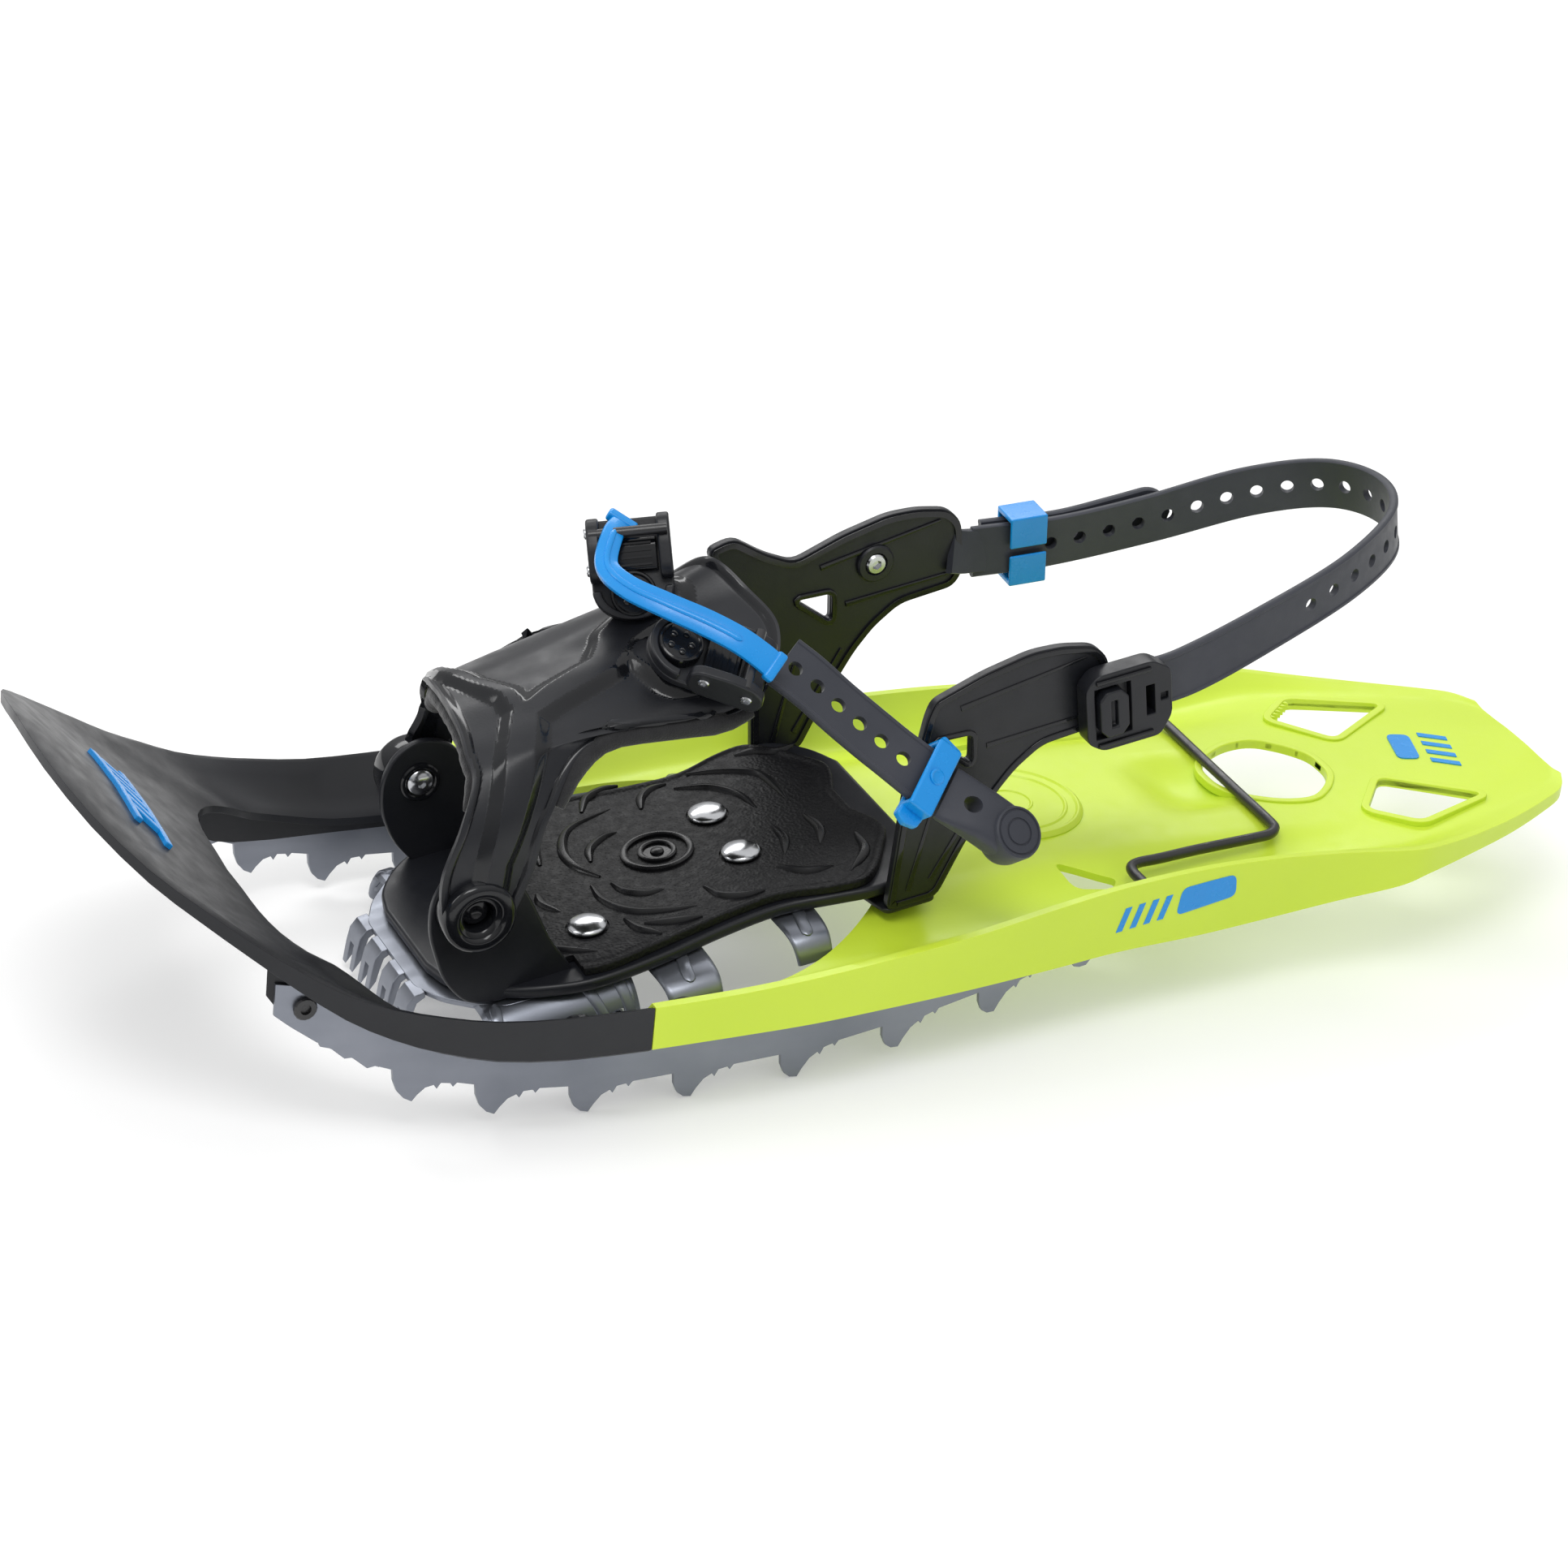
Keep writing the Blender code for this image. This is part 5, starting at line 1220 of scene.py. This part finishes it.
def buckles():
    """Near buckle lying on the cage, far buckle standing up."""
    lying = frame_matrix((47.0, -34.4, 91.8), (0.80, -0.42, -0.42), (0.30, -0.62, 0.75))
    upright = frame_matrix((37.5, 12.0, 112.0), (0.21, 0.56, 0.80), (-0.307, -0.739, 0.598))
    upright = upright @ Matrix.Diagonal((0.84, 1.08, 1.0, 1.0))
    for side, placed, sign in (("left", lying, -1), ("right", upright, 1)):
        buckle_housing(side, placed, sign)
        buckle_fittings(side, placed, sign)


# ---------------------------------------------------------------- crampon

def crosswise(point, tangent):
    """Facing of a strip that runs across the shoe."""
    return tangent.cross(Vector((1, 0, 0)))


def sheet_arm(points, width, taper=1.0):
    """Pressed strip that bends down at its end."""
    path = spline(points, 6)
    return strap_mesh(path, width, 2.2, crosswise, PLAIN_SECTION,
                      widths=lambda s: 1.0 + (taper - 1.0) * s)


CLAW_PLATE = ((-72.0, 24.0), (-66.0, 36.0), (-57.0, 46.0), (-48.0, 52.0), (-4.0, 53.0),
              (0.0, 48.0), (4.0, 46.0), (28.0, 46.0), (32.0, 40.0), (44.0, 34.0), (54.0, 36.0),
              (72.0, 34.0), (76.0, 26.0))


def claw_wall(side, sign):
    """Side wall of the claw, its lower edge cut to points."""
    bend = ((-30.0, 40, -9.9), (-30.0, 48, -9.9), (-30.0, 53.5, -10.6), (-30.0, 57.5, -13.6),
            (-30.0, 59.8, -18.0), (-30.0, 61.2, -24.0), (-30.0, 62.4, -31.0),
            (-30.0, 63.4, -38.0))
    wall = sheet_arm([(u, sign * y, w) for u, y, w in bend], 56.0)
    wall = add_piece(f"claw_wall_{side}", wall, "rail_steel", degrees=50.0)
    low, high = sorted((sign * 30.0, sign * 80.0))
    arch = [(-49.0, -45.0), (-47.5, -30.0), (-44.0, -25.0), (-38.0, -24.0), (-34.0, -27.0),
            (-31.0, -33.0), (-29.0, -45.0)]
    notches = []
    for top, depth in ((-15.0, 3.0), (-21.0, 4.5), (-27.0, 4.0), (-33.0, 3.5)):
        notch = [(-60.0, top + 1.0), (-58.0 + depth * 0.4, top), (-58.0 + depth, top - 1.8),
                 (-58.0 + depth * 0.6, top - 3.6), (-60.0, top - 4.8)]
        notches.append(prism_mesh(notch, low, high, side_view))
    point = [(-2.0, -45.0), (-2.0, -30.0), (-6.5, -38.5), (-11.0, -31.0), (-18.0, -29.0),
             (-23.0, -37.0), (-29.0, -45.0)]
    foot = [(-70.0, -55.0), (-70.0, -27.0), (-57.0, -28.5), (-49.0, -25.0), (-45.0, -55.0)]
    cut(wall, [cutter(prism_mesh(rounded(arch, 3.0), low, high, side_view)),
               cutter(join_meshes(notches)), cutter(prism_mesh(point, low, high, side_view)),
               cutter(prism_mesh(foot, low, high, side_view))])


def claw_arms(side, sign):
    """Two arms behind the wall, each with a pressed rib."""
    for place, u, width, reach, taper in (("middle", 15.5, 23.0, 72.0, 0.86),
                                          ("rear", 63.5, 17.0, 66.0, 0.8)):
        arm = [(u, sign * 34, -9.9), (u, sign * (reach - 17), -9.9),
               (u, sign * (reach - 9), -10.2), (u, sign * (reach - 4), -11.6),
               (u, sign * (reach - 1.4), -14.6), (u, sign * reach, -19.5)]
        add_piece(f"claw_arm_{place}_{side}", sheet_arm(arm, width, taper), "rail_steel",
                  degrees=50.0)
        rib = [(u + 3.0, sign * 40, -8.8), (u + 1.5, sign * (reach - 17), -8.7),
               (u, sign * (reach - 9), -9.0), (u - 0.5, sign * (reach - 3.2), -10.8)]
        rib = strap_mesh(spline(rib, 6), 4.6, 1.8, steady((0.0, 0.0, 1.0)), PLAIN_SECTION,
                         round_ends=(True, True))
        add_piece(f"claw_rib_{place}_{side}", rib, "rail_steel", degrees=50.0)


def claw_beads(side, sign):
    """Pressed beads over the bend of the wall."""
    for k, (u, lean) in enumerate(((-52.0, -4.0), (-20.0, 4.0), (-8.0, 2.0))):
        bead = [(u, sign * 50, -8.8), (u + lean * 0.4, sign * 56.5, -11.6),
                (u + lean, sign * 60.6, -18.5), (u + lean * 1.3, sign * 62.2, -25.0)]
        bead = strap_mesh(spline(bead, 6), 4.4, 2.0, crosswise, PLAIN_SECTION,
                          round_ends=(True, True))
        add_piece(f"claw_bead_{k}_{side}", bead, "rail_steel", degrees=50.0)


def front_claws(side, sign):
    """Two forked points under the toes."""
    gap = [(-90.0, -16.0), (-90.0, -30.0), (-70.0, -30.0), (-70.0, -16.0)]
    outline = [(-70.0, -11.0), (-70.0, -8.8), (-74.0, -9.2), (-77.0, -12.0), (-79.0, -17.0),
               (-81.5, -25.0), (-77.5, -21.0), (-75.5, -16.5), (-73.5, -12.6)]
    for k, y in enumerate((3.5, 19.0)):
        low, high = sorted((sign * y, sign * (y + 10.5)))
        claw = add_piece(f"claw_front_{k}_{side}", prism_mesh(outline, low, high, side_view),
                         "rail_steel")
        middle = sign * (y + 5.25)
        cut(claw, [cutter(prism_mesh(gap, middle - 1.8, middle + 1.8, side_view))])
        softened(claw, 0.35, 2)


def crampon():
    """Pressed claw under the foot: plate, walls, arms and front points, bored for the axle."""
    plate = prism_mesh(rounded(mirrored(CLAW_PLATE), 3.0), -11.0, -8.8)
    body = add_piece("claw_plate", plate, "rail_steel", replaces=["toe_crampon"])
    softened(body, 0.5, 2)
    for side, sign in (("left", -1), ("right", 1)):
        claw_wall(side, sign)
        claw_arms(side, sign)
        claw_beads(side, sign)
        front_claws(side, sign)
    for side in ("left", "right"):
        bore = cutter(rod_mesh((-10.0, -90.0, -22.0), (-10.0, 90.0, -22.0), 4.2))
        cut(bpy.data.objects[f"claw_wall_{side}"], [bore])


# ---------------------------------------------------------------- deck and nose

# x, half width, rim top height, wall depth, channel height, plateau height
DECK_STATIONS = (
    (-107.2, 102.0, -1.2, 16.5, -19.0, -19.0), (-75.0, 102.0, -0.4, 17.0, -16.0, -16.0),
    (-45.0, 100.0, 0.4, 18.5, -12.5, -12.0), (-15.0, 97.0, 1.8, 20.0, -9.5, -7.0),
    (20.0, 93.0, 4.0, 22.0, -8.0, -2.5), (55.0, 87.5, 7.0, 25.0, -7.0, -0.2),
    (85.0, 83.0, 9.0, 26.5, -6.0, 0.5), (120.0, 78.5, 9.3, 27.5, -5.0, 0.5),
    (150.0, 76.3, 8.4, 25.0, -4.0, 0.5), (180.0, 76.0, 6.6, 20.0, -2.5, 0.5),
    (205.0, 77.8, 5.2, 15.0, -1.0, 0.5), (218.0, 77.0, 4.4, 11.0, -0.5, 0.6),
    (240.0, 69.5, 2.6, 8.0, 0.0, 0.8), (264.0, 59.5, 1.6, 6.5, 0.4, 1.0),
    (285.0, 49.0, 1.6, 5.5, 0.8, 1.2), (297.0, 41.5, 1.8, 5.0, 1.0, 1.3),
    (303.0, 32.0, 2.0, 5.0, 1.2, 1.4))
DECK_FRONT = ((-125.0, 81.8), (-107.0, 82.2), (-75.0, 81.0), (-45.0, 77.0), (-27.0, 69.5),
              (-10.0, 57.5), (3.0, 46.0), (12.0, 31.0), (17.0, 15.0))
REAR_WINDOW = ((263.5, 38.5), (228.0, 52.0), (212.5, 38.5), (230.0, 17.0))
CENTRE_WINDOW = ((213.0, 7.0), (207.0, 16.0), (197.0, 24.5), (184.0, 23.0), (172.0, 16.0),
                 (165.0, 7.0))
SIDE_SLOT = ((75.0, 44.0), (97.0, 55.0), (93.0, 59.5), (79.0, 57.0))
PLATE_SKIN = 2.8


def refine(stations, steps):
    """Smooth extra stations between rows of equal-length number tuples."""
    pairs = [spline([(row[0], row[i], 0.0) for row in stations], steps)
             for i in range(1, len(stations[0]))]
    return [(pairs[0][k].x, *[column[k].y for column in pairs]) for k in range(len(pairs[0]))]


def deck_row(values):
    """Top line, outer walls and underside of the deck at one station."""
    x, half, rim, wall, channel, plateau = values
    levels = ((1.0, rim), (0.965, rim), (0.90, rim * 0.55 + channel * 0.45),
              (0.84, channel * 0.85 + rim * 0.15), (0.78, channel),
              (0.66, channel * 0.7 + plateau * 0.3), (0.5, plateau), (0.25, plateau + 0.4),
              (0.0, plateau + 0.5))
    smooth = spline([(half * share, level, 0.0) for share, level in levels[1:]], 5)
    top = []
    for point in [Vector((half, rim, 0.0)), *smooth]:
        y, level = point.x, point.y
        basin = max(0.0, 1 - ((x - 153.0) / 17.0) ** 2) * max(0.0, 1 - (y / 22.0) ** 2)
        top.append((y, level - 6.0 * basin))
    bottom = rim - wall
    under = [(y, z - PLATE_SKIN) for y, z in top[6:]]
    line = [*top, *[(-y, z) for y, z in reversed(top[:-1])]]
    inner = (half - PLATE_SKIN, min(rim - PLATE_SKIN, bottom + wall * 0.8))
    below = [(-inner[0], inner[1]), *[(-y, z) for y, z in under], *reversed(under[:-1]), inner]
    ring = [*line, (-half, bottom), (-half + PLATE_SKIN, bottom), *below,
            (half - PLATE_SKIN, bottom), (half, bottom)]
    return [(x, y, z) for y, z in ring]


def deck():
    """Deck lofted from its stations, with its openings and bail holes cut out."""
    build = bmesh.new()
    rows = [[build.verts.new(point) for point in deck_row(row)]
            for row in refine(DECK_STATIONS, 5)]
    made = add_piece("deck_shell", skinned(build, rows), "lime_plastic", body="frame",
                     space=DECK, replaces=["tail_deck"], degrees=32.0)
    cutters = [cutter(prism_mesh(rounded(mirrored(DECK_FRONT), 9.0, 6), -60, 60), DECK),
               cutter(prism_mesh(rounded(mirrored(CENTRE_WINDOW), 6.0, 6), -60, 60), DECK)]
    for outline in (REAR_WINDOW, SIDE_SLOT):
        for sign in (1, -1):
            points = rounded([(x, sign * y) for x, y in outline], 4.0, 5)
            cutters.append(cutter(prism_mesh(points, -60, 60), DECK))
    for sign in (1, -1):
        cutters.append(cutter(rod_mesh((98.0, sign * 60.0, 3.2), (98.0, sign * 79.0, 3.2), 2.6),
                              DECK))
    cut(made, cutters)
    softened(made, 0.9, 2, 40.0)


def lime_trim(name, build, look="lime_plastic"):
    """Piece of the frame given in deck coordinates."""
    return add_piece(name, build, look, body="frame", space=DECK)


def deck_details():
    """Heel disc with two ring lines, window rims and ice teeth."""
    profile = [(28.2, -2.5), (28.2, 1.4), (27.6, 2.2), (26.6, 2.9), (26.0, 2.9), (25.2, 2.25),
               (22.4, 2.2), (21.8, 2.8), (21.2, 2.8), (20.6, 2.2), (9.4, 2.2), (9.0, 2.7),
               (8.4, 2.7), (8.0, 2.2), (0.5, 2.2)]
    lime_trim("heel_disc", turned_mesh(profile, (79.0, 0, 0), (0, 0, 1), 96))
    for label, outline, level in (("left", [(x, -y) for x, y in REAR_WINDOW], 0.9),
                                  ("right", list(REAR_WINDOW), 0.9),
                                  ("centre", mirrored(CENTRE_WINDOW), 0.6)):
        shape = rounded(outline, 4.0 if label != "centre" else 6.0, 5)
        rim = band_mesh(inset(shape, -3.0), inset(shape, 0.0), level - 2.2, level + 1.1)
        softened(lime_trim(f"window_rim_{label}", rim), 0.6, 3)
    teeth = []
    start, end = Vector((213.5, 39.5)), Vector((227.0, 51.0))
    direction = (end - start).normalized()
    inwards = Vector((direction.y, -direction.x))
    for k in range(6):
        at = start.lerp(end, (k + 0.5) / 6)
        triangle = [at - direction * 1.3 - inwards, at + direction * 1.3 - inwards,
                    at + inwards * 2.2]
        teeth.append(prism_mesh([tuple(p) for p in triangle], -1.2, 1.6))
    lime_trim("window_teeth", join_meshes(teeth))


def flashes():
    """Plain blue shapes laid on the tail and on the near skirt."""
    tail = frame_matrix((263.0, 0.0, 1.75), (0.28, 0.96, 0.0), (0.0, 0.0, 1.0))
    shapes = [plate_mesh(rounded([(-9.0, 6.0), (11.0, 6.0), (11.0, 15.0), (-9.0, 15.0)], 3.0),
                         -0.8, 0.12, tail)]
    for k in range(4):
        x = -14.0 + 7.0 * k
        bar = [(x, -9.0), (x + 3.0, -9.0), (x + 6.0, 2.0), (x + 3.0, 2.0)]
        shapes.append(plate_mesh(bar, -0.8, 0.12, tail))
    lime_trim("tail_flash", join_meshes(shapes), "blue_plastic")
    tree = surface_tree("deck_shell")
    outlines = [rounded([(108.5, -7.6), (110.0, 3.4), (133.5, 4.9), (134.5, -4.2)], 3.0)]
    for k in range(4):
        x = 82.0 + 6.0 * k
        outlines.append([(x, -9.0 + 0.4 * k), (x + 2.8, -8.8 + 0.4 * k),
                         (x + 6.0, 0.6 + 0.4 * k), (x + 3.2, 0.4 + 0.4 * k)])
    shapes = []
    for outline in outlines:
        build = bmesh.new()
        front, back = [], []
        for x, z in outline:
            start = DECK @ Vector((x, -130.0, z))
            hit = tree.ray_cast(start, Vector((0, 1, 0)))[0]
            y = hit.y / MM if hit else -79.0
            front.append(build.verts.new((x, y - 0.12, z)))
            back.append(build.verts.new((x, y + 0.8, z)))
        shapes.append(skinned(build, [front, back]))
    lime_trim("skirt_flash", join_meshes(shapes), "blue_plastic")


def refined_copy(node, name, look, width, segments, angle):
    """Copy of a CAD piece of the frame with softened edges."""
    source = frame["nodes"][node]
    mesh = source.data.copy()
    mesh.transform(source.matrix_world)
    mesh.materials.clear()
    mesh.materials.append(LOOKS[look])
    made = bpy.data.objects.new(name, mesh)
    bpy.context.scene.collection.objects.link(made)
    build = bmesh.new()
    build.from_mesh(mesh)
    bmesh.ops.remove_doubles(build, verts=build.verts, dist=0.00001)
    bmesh.ops.dissolve_limit(build, angle_limit=math.radians(0.5), verts=build.verts,
                             edges=build.edges)
    build.to_mesh(mesh)
    build.free()
    mesh.shade_smooth()
    mesh.set_sharp_from_angle(angle=math.radians(40.0))
    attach(made, "frame")
    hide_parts(node)
    return softened(made, width, segments, angle)


def footplate():
    """Moulded base: rounded tray and two smooth ears."""
    outline = ((-66.0, 20.0), (-62.0, 34.0), (-50.0, 48.0), (-32.0, 57.0), (-15.0, 60.5),
               (10.0, 58.0), (35.0, 53.0), (58.0, 50.5), (78.0, 54.0), (92.0, 56.5),
               (102.0, 54.5), (112.0, 44.0), (118.0, 30.0))
    half = [(p.x, p.y) for p in spline([(u, y, 0.0) for u, y in outline], 4)]
    shape = mirrored(half)
    tray = add_piece("base_tray", prism_mesh(shape, -8.0, -3.3), "black_plastic",
                     replaces=["footplate"], degrees=30.0)
    softened(tray, 1.6, 4)
    for side, sign, (u, w) in (("left", -1, LEFT_BOSS), ("right", 1, RIGHT_BOSS)):
        ear = [(u + 4, -8.0), (u - 6, -5.0), (u - 13, 6.0), (u - 16, w - 8), (u - 14, w + 4),
               (u - 8, w + 13), (u + 2, w + 17), (u + 13, w + 13), (u + 21, w), (u + 28, 10.0),
               (u + 33, 0.0), (u + 36, -8.0)]
        low, high = sorted((sign * 46.5, sign * 49.5))
        build = prism_mesh(rounded(ear, 7.0, 5), low, high, side_view)
        softened(add_piece(f"base_ear_{side}", build, "black_plastic"), 1.0, 3)


def turned_rivets():
    """Domed heads with a small flat, in place of the faceted ones."""
    dome = [(7.2, 0.0), (7.2, 0.5), (6.9, 1.0), (6.2, 1.45), (5.0, 1.9), (3.6, 2.2), (2.4, 2.35),
            (1.0, 2.4), (0.3, 2.38)]
    for place, u, y in (("front", -8.5, 32.0), ("rear", 58.5, 15.1)):
        for side, sign in (("left", -1), ("right", 1)):
            add_piece(f"dome_{side}_{place}", turned_mesh(dome, (u, sign * y, 0.1), (0, 0, 1), 48),
                      "bright_steel",
                      replaces=[f"tread_rivet_{side}_{place}"], degrees=60.0)
    for side, sign, (u, w) in (("left", -1, LEFT_BOSS), ("right", 1, RIGHT_BOSS)):
        small = [(r * 0.72, level) for r, level in dome]
        head = turned_mesh(small, (u, sign * 46.2, w), (0, -sign, 0), 48)
        head = add_piece(f"ear_dome_{side}", head, "bright_steel",
                         replaces=[f"ear_rivet_{side}"], degrees=60.0)
        start = Vector((u, sign * 45.0, w))
        cut(head, [cutter(rod_mesh(start, start - Vector((0, sign * 5, 0)), 1.7, 6))])
        ring = turned_mesh([(5.4, 0.0), (7.6, 0.0), (7.6, 0.9), (7.0, 1.4), (6.0, 1.4),
                            (5.4, 0.9)], (u, sign * 46.5, w), (0, -sign, 0), 48)
        bmesh.ops.delete(ring, geom=[face for face in ring.faces if len(face.verts) > 4],
                         context="FACES_ONLY")
        loops = [edge for edge in ring.edges if edge.is_boundary]
        bmesh.ops.bridge_loops(ring, edges=loops)
        add_piece(f"ear_washer_{side}", ring, "black_gloss")


def lift_wire():
    """Heel lift bail, bent from one wire."""
    x, z = 98.0, 3.2
    half = [(x, -76.5, z), (x, -70.0, z), (x, -64.0, z), (x + 1.5, -59.5, z), (x + 6.0, -57.3, z),
            (x + 15.0, -56.4, z), (130.0, -53.9, z), (155.0, -51.2, z), (162.5, -50.0, z),
            (166.5, -47.0, z), (168.0, -42.0, z)]
    path = [*half, (168.0, -20.0, z), (168.0, 0.0, z), (168.0, 20.0, z)]
    path += [(a, -b, c) for a, b, c in reversed(half)]
    build = tube_mesh(spline(path, 5), 2.0, 24)
    add_piece("lift_wire", build, "black_steel", body="heel_lift", space=DECK,
              replaces=["heel_lift_bail"], degrees=60.0)


def frame_copies():
    """Rails and nose from the CAD with softer edges; the rails' front tips come off."""
    for side in ("left", "right"):
        rail = refined_copy(f"traction_rail_{side}", f"tooth_rail_{side}", "rail_steel", 0.12, 1,
                            40.0)
        tip = box_mesh((26.0, 260.0, 80.0), Matrix.Translation((-233.5, 0, 0)))
        cut(rail, [cutter(tip, DECK)])
    refined_copy("nose_frame", "nose_shell", "black_plastic", 0.8, 3, 35.0)


# x, y of the rail's plan line and x, z of its lower edge at the front
RAIL_PLAN = ((-246.0, 70.0), (-232.0, 76.0), (-216.0, 79.8), (-200.0, 81.6), (-160.0, 84.6))
RAIL_BASE = ((-236.0, 1.0), (-230.0, -3.5), (-222.0, -9.0), (-205.0, -18.5), (-186.5, -25.5))


def lookup(table, x):
    """Straight-line interpolation of the second column at x."""
    for (x0, v0), (x1, v1) in zip(table, table[1:]):
        if x <= x1:
            return v0 + (v1 - v0) * (x - x0) / (x1 - x0)
    return table[-1][1]


def rail_fronts():
    """Steel tabs that lap the nose skirt and carry the screw."""
    tree = surface_tree("nose_shell")
    for side, sign in (("left", -1), ("right", 1)):
        build = bmesh.new()
        rows = []
        for k in range(19):
            x = -236.0 + 2.0 * k
            y = lookup(RAIL_PLAN, x)
            start = DECK @ Vector((x, sign * (y + 2.2), -60.0))
            hit = tree.ray_cast(start, Vector((0, 0, 1)))[0]
            top = min(hit.z / MM - DECK_Z - 0.4, 13.0) if hit else 0.0
            bottom = min(lookup(RAIL_BASE, x), top - 1.0)
            near, far = sign * (y + 1.0), sign * (y + 2.2)
            rows.append([build.verts.new(p) for p in ((x, near, top), (x, far, top),
                         (x, far, bottom), (x, near, bottom))])
        add_piece(f"rail_tab_{side}", skinned(build, rows), "rail_steel", body="frame", space=DECK)


def nose_flash():
    """Plain slanted bars that follow the nose plate."""
    tree = surface_tree("nose_shell")
    placed = frame_matrix((-260.2, 0.0, 49.6), (0.0, 1.0, 0.0), (0.66, 0.0, 0.75))
    normal = Vector((0.66, 0.0, 0.75)).normalized()
    bars = [(-27.0, 27.0, -7.6, -4.6, 0.0), (-22.0, 30.0, 5.0, 8.0, 0.0)]
    bars += [(-19.0 + 7.0 * k, -15.0 + 7.0 * k, -4.6, 5.0, 6.0) for k in range(6)]
    shapes = []
    for low, high, near, far, shear in bars:
        build = bmesh.new()
        across, along = 5, max(2, int((high - low) / 3))
        levels = []
        for lift in (1.7, -0.6):
            grid = []
            for i in range(along + 1):
                row = []
                for j in range(across + 1):
                    b = near + (far - near) * j / across
                    a = low + (high - low) * i / along + shear * j / across
                    point = placed @ Vector((a, b, 12.0))
                    hit = tree.ray_cast(DECK @ point, -normal)[0]
                    place = DECK.inverted() @ hit if hit else placed @ Vector((a, b, 0.0))
                    row.append(build.verts.new(place + normal * lift))
                grid.append(row)
            levels.append(grid)
        for grid in levels:
            for i in range(along):
                for j in range(across):
                    build.faces.new((grid[i][j], grid[i + 1][j], grid[i + 1][j + 1],
                                     grid[i][j + 1]))
        top, base = levels
        edge = ([(i, 0) for i in range(along)] + [(along, j) for j in range(across)]
                + [(i, across) for i in range(along, 0, -1)]
                + [(0, j) for j in range(across, 0, -1)])
        for (i, j), (m, n) in zip(edge, edge[1:] + edge[:1]):
            build.faces.new((top[i][j], top[m][n], base[m][n], base[i][j]))
        shapes.append(build)
    flash = add_piece("nose_flash", join_meshes(shapes), "blue_plastic",
                      body="frame", space=DECK, replaces=["nose_badge"])
    softened(flash, 0.3, 2)


# ---------------------------------------------------------------- assembly

camera()
stage()
dress_nodes()
toe_cage()
cage_bosses()
cage_liners()
tread_pad()
heel_straps()
instep_band()
instep_slider()
instep_grip()
lever_mesh()
heel_wings()
strap_clasp()
heel_clasp()
buckles()
crampon()
deck()
deck_details()
flashes()
footplate()
turned_rivets()
lift_wire()
frame_copies()
rail_fronts()
nose_flash()
